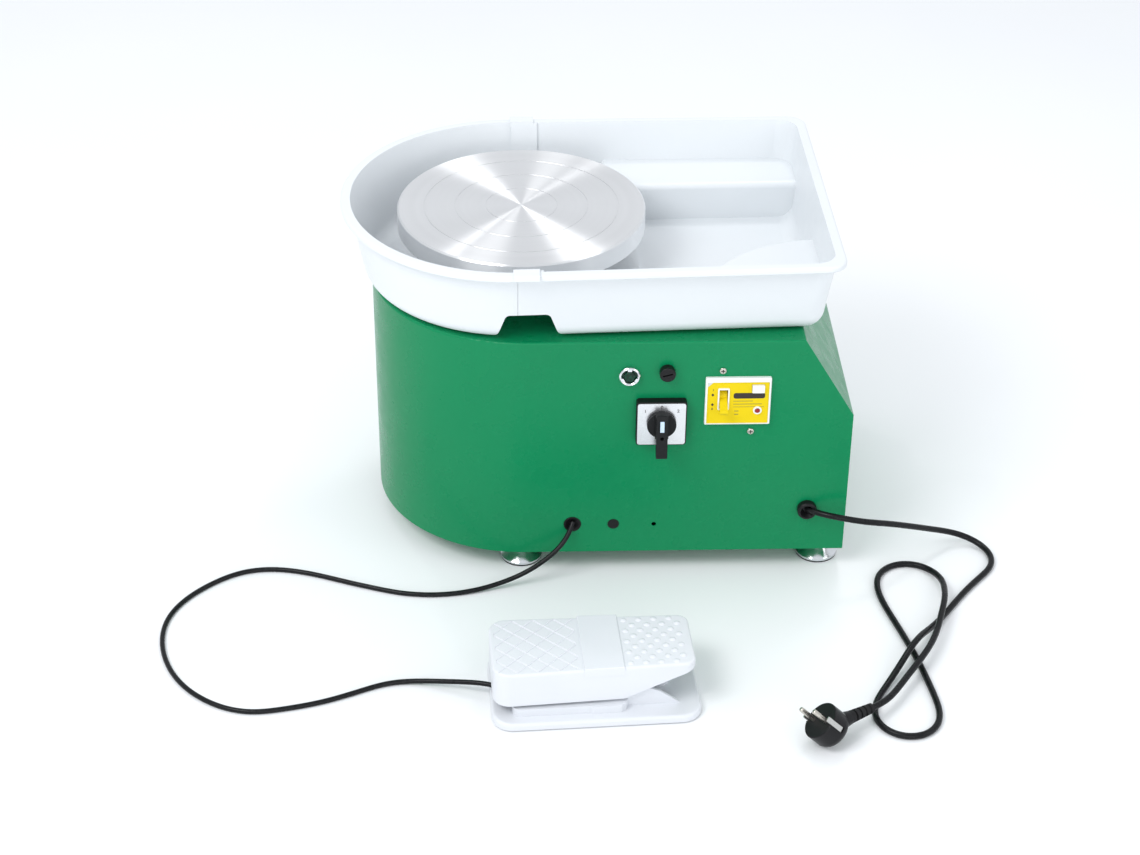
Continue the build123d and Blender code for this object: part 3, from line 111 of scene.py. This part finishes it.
def make_camera():
    """Camera at the viewing angle worked out with the part's size."""
    pitch, yaw, roll = radians(CAMERA_PITCH), radians(CAMERA_YAW), radians(CAMERA_ROLL)
    forward = Vector((sin(yaw) * cos(pitch), cos(yaw) * cos(pitch), -sin(pitch)))
    right = Vector((cos(yaw), -sin(yaw), 0))
    up = right.cross(forward)
    side = cos(roll) * right + sin(roll) * up
    top = cos(roll) * up - sin(roll) * right
    data = bpy.data.cameras.new("camera")
    data.lens = LENS
    data.sensor_width = SENSOR_WIDTH
    camera = bpy.data.objects.new("camera", data)
    turn = Matrix((side, top, -forward)).transposed().to_4x4()
    camera.matrix_world = Matrix.Translation(CAMERA_AT) @ turn
    bpy.context.scene.collection.objects.link(camera)
    bpy.context.scene.camera = camera


def area_light(name, at, target, size, power):
    """Soft rectangular light aimed at a point."""
    data = bpy.data.lights.new(name, "AREA")
    data.shape = "RECTANGLE"
    data.size, data.size_y = size
    data.energy = power
    light = bpy.data.objects.new(name, data)
    direction = Vector(target) - Vector(at)
    turn = direction.to_track_quat("-Z", "Y").to_matrix().to_4x4()
    light.matrix_world = Matrix.Translation(at) @ turn
    bpy.context.scene.collection.objects.link(light)


def make_studio():
    """Pale floor, white surroundings and soft boxes; the overhead pair draws the wedges on the wheel."""
    scene = bpy.context.scene
    scene.view_settings.view_transform = "Standard"
    world = bpy.data.worlds.new("studio")
    world.use_nodes = True
    background = world.node_tree.nodes["Background"]
    background.inputs["Color"].default_value = (*WORLD_COLOUR, 1)
    background.inputs["Strength"].default_value = WORLD_STRENGTH
    scene.world = world
    for settings in LIGHTS:
        area_light(*settings)
    bpy.ops.mesh.primitive_plane_add(size=FLOOR_SIZE, location=(0, 1, 0))
    floor = bpy.context.object
    floor.name = "floor"
    floor.data.materials.append(MATERIALS["floor"])


# ---------------------------------------------------------------- materials

class Graph:
    """Small helper around one material's node tree."""

    def __init__(self, name):
        self.material = bpy.data.materials.new(name)
        self.material.use_nodes = True
        self.tree = self.material.node_tree
        self.shader = self.tree.nodes["Principled BSDF"]
        self.coords = self.tree.nodes.new("ShaderNodeTexCoord").outputs["Object"]

    def add(self, kind, **settings):
        node = self.tree.nodes.new(kind)
        for key, value in settings.items():
            setattr(node, key, value)
        return node

    def link(self, output, target):
        self.tree.links.new(output, target)

    def noise(self, scale, detail=3.0, stretch=(1, 1, 1), roughness=0.55):
        """Noise over the object, in its own metres; stretch divides the detail along an axis."""
        mapping = self.add("ShaderNodeMapping")
        mapping.inputs["Scale"].default_value = stretch
        self.link(self.coords, mapping.inputs["Vector"])
        noise = self.add("ShaderNodeTexNoise")
        noise.inputs["Scale"].default_value = scale
        noise.inputs["Detail"].default_value = detail
        noise.inputs["Roughness"].default_value = roughness
        self.link(mapping.outputs["Vector"], noise.inputs["Vector"])
        return noise.outputs["Fac"]

    def span(self, value, low, high, start=0.3, end=0.7):
        """Value mapped from start..end to low..high."""
        node = self.add("ShaderNodeMapRange")
        for key, number in zip(("From Min", "From Max", "To Min", "To Max"), (start, end, low, high)):
            node.inputs[key].default_value = number
        self.link(value, node.inputs["Value"])
        return node.outputs["Result"]

    def blend(self, factor, first, second):
        """Colour between two others."""
        node = self.add("ShaderNodeMix", data_type="RGBA")
        self.link(factor, node.inputs["Factor"])
        for socket, colour in ((node.inputs["A"], first), (node.inputs["B"], second)):
            if isinstance(colour, tuple):
                socket.default_value = (*colour, 1)
            else:
                self.link(colour, socket)
        return node.outputs["Result"]

    def bumps(self, *layers):
        """Height layers of (value, strength, depth in metres), each over the one before."""
        normal = None
        for height, strength, depth in layers:
            bump = self.add("ShaderNodeBump")
            bump.inputs["Strength"].default_value = strength
            bump.inputs["Distance"].default_value = depth
            self.link(height, bump.inputs["Height"])
            if normal:
                self.link(normal, bump.inputs["Normal"])
            normal = bump.outputs["Normal"]
        self.link(normal, self.shader.inputs["Normal"])

    def set(self, **sockets):
        for key, value in sockets.items():
            self.shader.inputs[key.replace("_", " ")].default_value = value

    def colour(self, output):
        self.link(output, self.shader.inputs["Base Color"])

    def rough(self, output):
        self.link(output, self.shader.inputs["Roughness"])


def shade(colour, factor):
    return tuple(min(1, channel * factor) for channel in colour)


def srgb(red, green, blue):
    """Linear colour from the 0-255 numbers of a screen colour."""
    def channel(value):
        value /= 255
        return value / 12.92 if value <= 0.04045 else ((value + 0.055) / 1.055) ** 2.4
    return tuple(channel(value) for value in (red, green, blue))


def painted(name, colour, rough=0.28, peel=0.05, shine=0.2):
    """Powder coat: faint orange peel, cloudy tone and a weak gloss."""
    graph = Graph(name)
    cloud = graph.span(graph.noise(5, 4), 0, 1)
    dust = graph.span(graph.noise(260, 2), 0, 0.25, 0.45, 0.8)
    tone = graph.blend(cloud, shade(colour, 0.96), shade(colour, 1.04))
    graph.colour(graph.blend(dust, tone, shade(colour, 1.15)))
    graph.rough(graph.span(graph.noise(40, 4), rough - 0.05, rough + 0.07))
    graph.bumps((graph.noise(420, 2), peel, 0.0004), (graph.noise(1500, 2), peel * 0.5, 0.0002))
    graph.set(Specular_IOR_Level=shine, IOR=1.5)
    return graph.material


def plastic(name, colour, rough=0.4, grain=0.12, grain_scale=1600, vary=0.05, coat=0.0, shine=0.5):
    """Moulded plastic: fine grain, uneven gloss and a slight drift of tone."""
    graph = Graph(name)
    drift = graph.span(graph.noise(9, 3), 0, 1)
    speck = graph.span(graph.noise(700, 2), 0, 0.5, 0.5, 0.75)
    tone = graph.blend(drift, shade(colour, 1 - vary), shade(colour, 1 + vary))
    graph.colour(graph.blend(speck, tone, shade(colour, 1 - 0.6 * vary)))
    graph.rough(graph.span(graph.noise(60, 4), rough - 0.06, rough + 0.08))
    graph.bumps((graph.noise(grain_scale, 3), grain, 0.00015), (graph.noise(22, 2), 0.4 * grain, 0.0006))
    graph.set(Coat_Weight=coat, Coat_Roughness=0.18, Specular_IOR_Level=shine, IOR=1.48)
    return graph.material


def rubber(name, colour, rough=0.55):
    """Soft rubber or cord jacket: dull and finely pitted."""
    graph = Graph(name)
    dust = graph.span(graph.noise(90, 5), 0, 1, 0.45, 0.8)
    graph.colour(graph.blend(dust, colour, shade(colour, 1.5)))
    graph.rough(graph.span(graph.noise(130, 3), rough - 0.1, rough + 0.12))
    graph.bumps((graph.noise(2200, 3), 0.18, 0.0002), (graph.noise(160, 2), 0.10, 0.0003))
    graph.set(Specular_IOR_Level=0.2)
    return graph.material


def metal(name, colour, rough=0.25, brush=(1, 1, 1), scale=300, depth=0.0001, strength=0.1, clean=0.12):
    """Bare or plated metal, brushed along the axis whose stretch is smallest."""
    graph = Graph(name)
    lines = graph.noise(scale, 4, brush, 0.65)
    cloud = graph.span(graph.noise(14, 4), 0, 1)
    tone = graph.blend(cloud, shade(colour, 1 - clean), colour)
    graph.colour(graph.blend(graph.span(lines, 0, 0.6), tone, shade(colour, 0.86)))
    graph.rough(graph.span(lines, rough * 0.75, rough * 1.35))
    graph.bumps((lines, strength, depth))
    graph.set(Metallic=1.0)
    return graph.material


def turned_aluminium(name, colour):
    """Faced disc: fine rings about its axis with a satin spread of light across them."""
    graph = Graph(name)
    split = graph.add("ShaderNodeSeparateXYZ")
    shift = graph.add("ShaderNodeVectorMath", operation="SUBTRACT")
    shift.inputs[1].default_value = place(0, 0, 0)
    graph.link(graph.coords, shift.inputs[0])
    graph.link(shift.outputs[0], split.inputs[0])
    flat = graph.add("ShaderNodeCombineXYZ")
    graph.link(split.outputs["X"], flat.inputs["X"])
    graph.link(split.outputs["Y"], flat.inputs["Y"])
    radius = graph.add("ShaderNodeVectorMath", operation="LENGTH")
    graph.link(flat.outputs[0], radius.inputs[0])
    rings = graph.add("ShaderNodeTexNoise", noise_dimensions="1D")
    rings.inputs["Scale"].default_value = 1100
    rings.inputs["Detail"].default_value = 4
    graph.link(radius.outputs["Value"], rings.inputs["W"])
    bands = graph.add("ShaderNodeTexNoise", noise_dimensions="1D")
    bands.inputs["Scale"].default_value = 130
    bands.inputs["Detail"].default_value = 3
    graph.link(radius.outputs["Value"], bands.inputs["W"])
    tone = graph.blend(graph.span(bands.outputs["Fac"], 0, 1), shade(colour, 0.98), colour)
    smudge = graph.span(graph.noise(16, 5), 0, 0.25, 0.5, 0.8)
    graph.colour(graph.blend(smudge, tone, shade(colour, 0.92)))
    graph.rough(graph.span(rings.outputs["Fac"], 0.305, 0.32))
    graph.bumps((rings.outputs["Fac"], 0.01, 0.00001), (bands.outputs["Fac"], 0.004, 0.00005))
    tangent = graph.add("ShaderNodeTangent", direction_type="RADIAL", axis="Z")
    graph.link(tangent.outputs["Tangent"], graph.shader.inputs["Tangent"])
    graph.set(Metallic=1.0, Anisotropic=1.0, Anisotropic_Rotation=0.25)
    return graph.material


def striped(name, ground, stripe):
    """Smooth inlay with fine stripes along its length."""
    graph = Graph(name)
    wave = graph.add("ShaderNodeTexWave", wave_type="BANDS", bands_direction="X")
    wave.inputs["Scale"].default_value = 260
    wave.inputs["Distortion"].default_value = 0.2
    graph.link(graph.coords, wave.inputs["Vector"])
    graph.colour(graph.blend(graph.span(wave.outputs["Fac"], 0, 1, 0.35, 0.65), ground, stripe))
    graph.rough(graph.span(graph.noise(90, 3), 0.25, 0.35))
    graph.bumps((graph.noise(1200, 2), 0.05, 0.0001))
    return graph.material


def coloured_glass(name, colour, rough=0.06):
    """Tinted lens, cut inside into small facets; its colour is painted lighter at each facet's middle and
    darker at its edges, as glints and shade of the cuts.
    """
    graph = Graph(name)
    cells = graph.add("ShaderNodeTexVoronoi", feature="F1")
    cells.inputs["Scale"].default_value = 420
    graph.link(graph.coords, cells.inputs["Vector"])
    # painted glints and shade: colour lighter at each facet's middle, darker towards its edges
    painted_facet_light_and_shade = graph.span(cells.outputs["Distance"], 0, 1, 0, 0.7)
    graph.colour(graph.blend(painted_facet_light_and_shade, shade(colour, 1.7), shade(colour, 0.5)))
    graph.rough(graph.span(graph.noise(300, 2), rough, rough + 0.08))
    graph.bumps((cells.outputs["Distance"], 0.25, 0.0004))
    graph.set(Specular_IOR_Level=0.25, IOR=1.5, Coat_Weight=0.1, Coat_Roughness=0.05)
    return graph.material


def floor_sheet(name):
    """Seamless paper floor."""
    graph = Graph(name)
    graph.colour(graph.blend(graph.span(graph.noise(1.2, 3), 0, 1), (0.90, 0.915, 0.93), (0.93, 0.94, 0.95)))
    graph.rough(graph.span(graph.noise(300, 3), 0.55, 0.7))
    graph.bumps((graph.noise(500, 2), 0.03, 0.0003))
    return graph.material


GREEN = (0.002, 0.215, 0.080)
MATERIALS = {
    "floor": floor_sheet("floor_paper"),
    "green_case": painted("green_powder_coat", GREEN),
    "motor_paint": painted("motor_enamel", (0.03, 0.03, 0.033), 0.4),
    "pan_white": plastic("pan_moulding", srgb(224, 228, 231), 0.34, 0.01, 300, 0.01, coat=0.15),
    "pedal_white": plastic("pedal_moulding", srgb(219, 222, 227), 0.42, 0.03, 600, 0.02),
    "head_alu": turned_aluminium("turned_aluminium", (0.93, 0.933, 0.94)),
    "steel": metal("machined_steel", (0.56, 0.57, 0.60), 0.28, (1, 1, 9)),
    "zinc": metal("zinc_plate", (0.66, 0.66, 0.64), 0.34),
    "chrome_trim": metal("chrome", (0.80, 0.82, 0.85), 0.15, scale=90, strength=0.03, clean=0.05),
    "nickel": metal("nickel_plate", (0.66, 0.63, 0.56), 0.26),
    "black_rubber": rubber("black_rubber", (0.012, 0.012, 0.013)),
    "cord_black": rubber("cord_jacket", (0.0065, 0.007, 0.008), 0.28),
    "black_plastic": plastic("black_moulding", (0.008, 0.008, 0.009), 0.34, 0.12, 1500, 0.15, shine=0.25),
    "grey_plastic": plastic("knob_moulding", (0.011, 0.012, 0.013), 0.45, 0.2, 1300, 0.12, shine=0.18),
    "white_plastic": plastic("white_moulding", srgb(238, 239, 238), 0.34, 0.06, 1200, 0.03),
    "yellow_plastic": plastic("yellow_moulding", srgb(230, 203, 10), 0.45, 0.08, 1200, 0.03, shine=0.2),
    "red_plastic": plastic("red_moulding", srgb(150, 22, 26), 0.32, 0.06, 1200, 0.05),
    "marker_blue": striped("marker_inlay", srgb(150, 190, 225), srgb(235, 243, 250)),
    "legend": metal("legend_plate", (0.90, 0.91, 0.93), 0.30, (1, 1, 14), 260, strength=0.06),
    "lens_green": coloured_glass("green_lens", (0.001, 0.038, 0.020)),
    "fuse_glass": coloured_glass("fuse_glass", (0.55, 0.60, 0.60)),
    "board_green": plastic("solder_mask", (0.02, 0.09, 0.035), 0.35, 0.1, 900, 0.1),
    "cast_alu": metal("cast_aluminium", (0.55, 0.56, 0.58), 0.45, scale=700, depth=0.0003, strength=0.25),
    # dark print, and also the painted shade in the two screw recesses
    "ink": plastic("print_and_recess_shade", srgb(44, 34, 30), 0.45, 0.05, 2000, 0.05),
    "ink_grey": plastic("grey_ink", srgb(118, 112, 60), 0.45, 0.05, 2000, 0.05),
    "foil": metal("silver_foil", (0.75, 0.77, 0.78), 0.3, (6, 1, 1), 300, strength=0.05),
}


def dress_nodes():
    """Give every CAD node the material of its slot in the record."""
    slots = {part["node"]: part["material_slot"] for part in frame["record"]["subparts"]}
    for name, piece in NODES.items():
        material = MATERIALS[slots[name]]
        if not piece.material_slots:
            piece.data.materials.append(material)
        for spot in piece.material_slots:
            spot.link = "OBJECT"
            spot.material = material


# ---------------------------------------------------------------- printed marks

def panel_point(spot, x, y, out):
    """Layout point on the front panel from an offset about a control's middle."""
    return place(spot[0] + x, PANEL_Y - out, CASE_Z + spot[1] + y)


def printed(name, outline, spot, out, ink):
    """Thin raised print on the panel from a closed outline of (x, y) millimetres."""
    mesh = bpy.data.meshes.new(name)
    build = bmesh.new()
    ring = [build.verts.new(panel_point(spot, x, y, out)) for x, y in outline]
    face = build.faces.new(ring)
    face.normal_update()
    grown = bmesh.ops.extrude_face_region(build, geom=[face])
    moved = [item for item in grown["geom"] if isinstance(item, bmesh.types.BMVert)]
    bmesh.ops.translate(build, verts=moved, vec=(0, -MARK_T / 1000, 0))
    bmesh.ops.recalc_face_normals(build, faces=build.faces)
    build.to_mesh(mesh)
    build.free()
    piece = bpy.data.objects.new(name, mesh)
    bpy.context.scene.collection.objects.link(piece)
    mesh.materials.append(MATERIALS[ink])
    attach(piece, "root")
    return piece


def rounded_bar(x0, x1, y0, y1, corner):
    """Outline of a bar with round corners."""
    points = []
    for cx, cy, start in (
        (x1 - corner, y1 - corner, 0),
        (x0 + corner, y1 - corner, 90),
        (x0 + corner, y0 + corner, 180),
        (x1 - corner, y0 + corner, 270),
    ):
        for step in range(CORNER_STEPS + 1):
            angle = radians(start + 90 / CORNER_STEPS * step)
            points.append((cx + corner * cos(angle), cy + corner * sin(angle)))
    return points


def breaker_marks():
    """Generic dark bar, thin lines, ticks and a silver corner on the yellow face."""
    bars = [
        ("bar", -4.5, 26.7, 3.0, 9.5, "ink"),
        ("line_0", -4.5, 15.0, -0.2, 0.4, "ink_grey"),
        ("line_1", -4.5, 24.0, -3.7, -3.1, "ink_grey"),
        ("line_2", -4.5, 26.0, -6.9, -6.5, "ink_grey"),
        ("tick_0", -3.2, 1.2, -11.9, -11.1, "ink_grey"),
        ("tick_1", -3.2, 1.2, -15.7, -14.9, "ink_grey"),
    ]
    for name, x0, x1, y0, y1, ink in bars:
        outline = rounded_bar(x0, x1, y0, y1, min(2.2, (y1 - y0) / 2.2))
        printed(f"breaker_{name}", outline, BREAKER_AT, FACE_OUT, ink)
    for row, y in enumerate((7.5, -3.8)):
        diamond = [(DIAMOND_X, y - 1.9), (DIAMOND_X + 1.5, y), (DIAMOND_X, y + 1.9), (DIAMOND_X - 1.5, y)]
        printed(f"breaker_diamond_{row}", diamond, BREAKER_AT, FACE_OUT, "ink")
    corner = [(-30.2, 22.1), (-30.2, 16.6), (-24.7, 22.1)]
    printed("breaker_foil", corner, BREAKER_AT, FACE_OUT, "foil")
    digit_mark("breaker_one", "1", BREAKER_AT, -24.8, 13.0, FACE_OUT, BREAKER_DIGIT)
    digit_mark("breaker_zero", "0", BREAKER_AT, -25.2, -8.9, FACE_OUT, BREAKER_DIGIT)


def painted_recess_shade():
    """Painted shade: dark crosses put on the two screws by the breaker, where their cross recesses fall into
    shadow.
    """
    arm, half = 2.0, 0.48
    cross = [
        (arm, -half), (arm, half), (half, half), (half, arm), (-half, arm), (-half, half),
        (-arm, half), (-arm, -half), (-half, -half), (-half, -arm), (half, -arm), (half, -half),
    ]
    for number, spot in enumerate(BREAKER_SCREWS_AT):
        # painted shade: the dark ink stands in for the shadow inside each cross recess
        printed(f"recess_shade_{number}", cross, spot, RECESS_OUT, "ink")


def digit_mark(name, digit, spot, x, y, out, size):
    """One raised digit on the panel."""
    data = bpy.data.curves.new(name, "FONT")
    data.body = digit
    data.size = size
    data.offset = size * 0.018
    data.extrude = MARK_T / 2000
    data.align_x = "CENTER"
    data.align_y = "CENTER"
    piece = bpy.data.objects.new(name, data)
    middle = panel_point(spot, x, y, out + MARK_T / 2)
    piece.matrix_world = Matrix.Translation(middle) @ Matrix.Rotation(pi / 2, 4, "X")
    bpy.context.scene.collection.objects.link(piece)
    data.materials.append(MATERIALS["ink"])
    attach(piece, "root")


def switch_marks():
    """The three positions' numbers on the legend plate."""
    for name, digit, x, y in (("one", "1", -16.3, 15.2), ("zero", "0", 0, 19.8), ("two", "2", 16.3, 15.2)):
        digit_mark(f"legend_{name}", digit, SWITCH_AT, x, y, PLATE_OUT, SWITCH_DIGIT)


# ---------------------------------------------------------------- cords

PEDAL_CORD_POINTS = [
    (49.5, -151, 61), (46, -157.5, 53.5), (40.5, -162.5, 45.5), (33, -167, 38), (24, -170.5, 31),
    (12, -173.5, 22.5), (-3, -176, 14), (-20, -179.5, 8), (-43, -185.5, 3.6),
    (-68, -191.5, PEDAL_FLOOR_Z), (-96, -194, PEDAL_FLOOR_Z), (-126, -190.5, PEDAL_FLOOR_Z),
    (-154, -180.5, PEDAL_FLOOR_Z), (-183, -169.5, PEDAL_FLOOR_Z), (-213, -156.5, PEDAL_FLOOR_Z),
    (-242, -147.5, PEDAL_FLOOR_Z), (-270, -145, PEDAL_FLOOR_Z), (-297, -152, PEDAL_FLOOR_Z),
    (-322, -170.5, PEDAL_FLOOR_Z), (-343, -192.5, PEDAL_FLOOR_Z), (-358, -220, PEDAL_FLOOR_Z),
    (-362.5, -252, PEDAL_FLOOR_Z), (-356.5, -288, PEDAL_FLOOR_Z), (-342, -321, PEDAL_FLOOR_Z),
    (-321, -347, PEDAL_FLOOR_Z), (-293, -367, PEDAL_FLOOR_Z), (-263, -375.5, PEDAL_FLOOR_Z),
    (-231, -369.5, PEDAL_FLOOR_Z), (-197, -361, PEDAL_FLOOR_Z), (-165, -346.5, PEDAL_FLOOR_Z),
    (-137, -332.5, PEDAL_FLOOR_Z), (-108, -331, 3.2), (-82, -337.5, 7), (-58, -345.5, 12.5),
    (-38, -351.5, 15),
]

MAINS_CORD_POINTS = [
    (287.5, -154.1, 76),
    (299, -165.5, 78), (313.5, -172, 78.5), (331, -174.5, 76), (350, -170, 69.5), (371, -159, 60),
    (394, -145, 47), (416, -131, 33.5), (436, -118.5, 21.5), (453.5, -111, 12.5),
    (470.5, -114.5, 7), (483, -126, 3.8), (487.5, -143, MAINS_FLOOR_Z),
    (482.5, -160.5, MAINS_FLOOR_Z), (469, -176, MAINS_FLOOR_Z), (451.5, -196, MAINS_FLOOR_Z),
    (435, -219, MAINS_FLOOR_Z), (418.5, -243, MAINS_FLOOR_Z), (402.5, -266, 7.5),
    (387, -288.5, MAINS_OVER_Z), (373.5, -310.5, MAINS_OVER_Z), (359, -332.5, 9), (344, -354, 4),
    (331.5, -375, MAINS_FLOOR_Z), (328.5, -397, MAINS_FLOOR_Z), (336.5, -415, MAINS_FLOOR_Z),
    (353, -425, MAINS_FLOOR_Z), (372.5, -423.5, MAINS_FLOOR_Z), (387, -410.5, MAINS_FLOOR_Z),
    (393, -390.5, MAINS_FLOOR_Z), (391, -365, MAINS_FLOOR_Z), (387.5, -338, MAINS_FLOOR_Z),
    (383.5, -311, MAINS_FLOOR_Z), (377.5, -282, MAINS_FLOOR_Z), (371, -254, MAINS_FLOOR_Z),
    (364.5, -228, MAINS_FLOOR_Z), (360, -204, MAINS_FLOOR_Z), (360, -180, MAINS_FLOOR_Z),
    (369, -161.5, MAINS_FLOOR_Z), (386, -151, MAINS_FLOOR_Z), (405.5, -152, MAINS_FLOOR_Z),
    (420.5, -164, 3.8), (427.5, -183, 7), (426.5, -205, 12), (422.5, -229, MAINS_OVER_Z),
    (415, -252.5, MAINS_OVER_Z), (407, -278, 14.5), (396, -303.5, MAINS_OVER_Z),
    (381.5, -327, MAINS_OVER_Z), (366, -349, 15), (352.5, -371, 15.5),
]


def pedal_entry():
    """Outer end of the sleeve on the pedal."""
    turn = radians(PEDAL_TURN)
    x, y, z = PEDAL_ENTRY
    return (
        PEDAL_AT[0] + x * cos(turn) - y * sin(turn),
        PEDAL_AT[1] + x * sin(turn) + y * cos(turn),
        z,
    )


def plug_cord_point(distance):
    """Point on the cord's axis, a distance from the middle of the plug."""
    return tuple(PLUG_FACE - PLUG_PIN_DIR * PLUG_T / 2 + PLUG_CORD_DIR * distance)


def cord_curve(name, points, diameter):
    """Round cord as one smooth spline that has the route's points as its control points."""
    data = bpy.data.curves.new(name, "CURVE")
    data.dimensions = "3D"
    data.bevel_depth = diameter / 2000
    data.bevel_resolution = 6
    data.resolution_u = 10
    data.use_fill_caps = True
    spline = data.splines.new("NURBS")
    spline.points.add(len(points) - 1)
    for knot, point in zip(spline.points, points):
        knot.co = (*place(*point), 1)
    spline.order_u = 4
    spline.use_endpoint_u = True
    piece = bpy.data.objects.new(name, data)
    bpy.context.scene.collection.objects.link(piece)
    data.materials.append(MATERIALS["cord_black"])
    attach(piece, "root")
    return piece


def make_cords():
    """Both cords as splines along their routes, in place of their CAD tubes, which are hidden."""
    pedal = cord_curve("pedal_lead", PEDAL_CORD_POINTS + [pedal_entry()], PEDAL_D)
    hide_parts("pedal_cord")
    route = MAINS_CORD_POINTS + [plug_cord_point(STRAIN_END + 18), plug_cord_point(STRAIN_END)]
    mains = cord_curve("mains_lead", route, MAINS_D)
    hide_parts("mains_cord")


def make_spring():
    """The pedal's return spring as its own copy of the CAD mesh, in place of the hidden node."""
    node = NODES["pedal_spring"]
    piece = bpy.data.objects.new("return_spring", node.data.copy())
    piece.matrix_world = node.matrix_world.copy()
    bpy.context.scene.collection.objects.link(piece)
    piece.data.materials.clear()
    piece.data.materials.append(MATERIALS["steel"])
    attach(piece, "root")
    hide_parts("pedal_spring")
    corners = [piece.matrix_world @ Vector(corner) for corner in piece.bound_box]
    foot = sum(corners, Vector()) / len(corners)
    foot.z = min(corner.z for corner in corners)
    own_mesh(piece)


# ---------------------------------------------------------------- build

make_camera()
make_cords()
make_spring()
make_studio()
dress_nodes()
breaker_marks()
switch_marks()
painted_recess_shade()
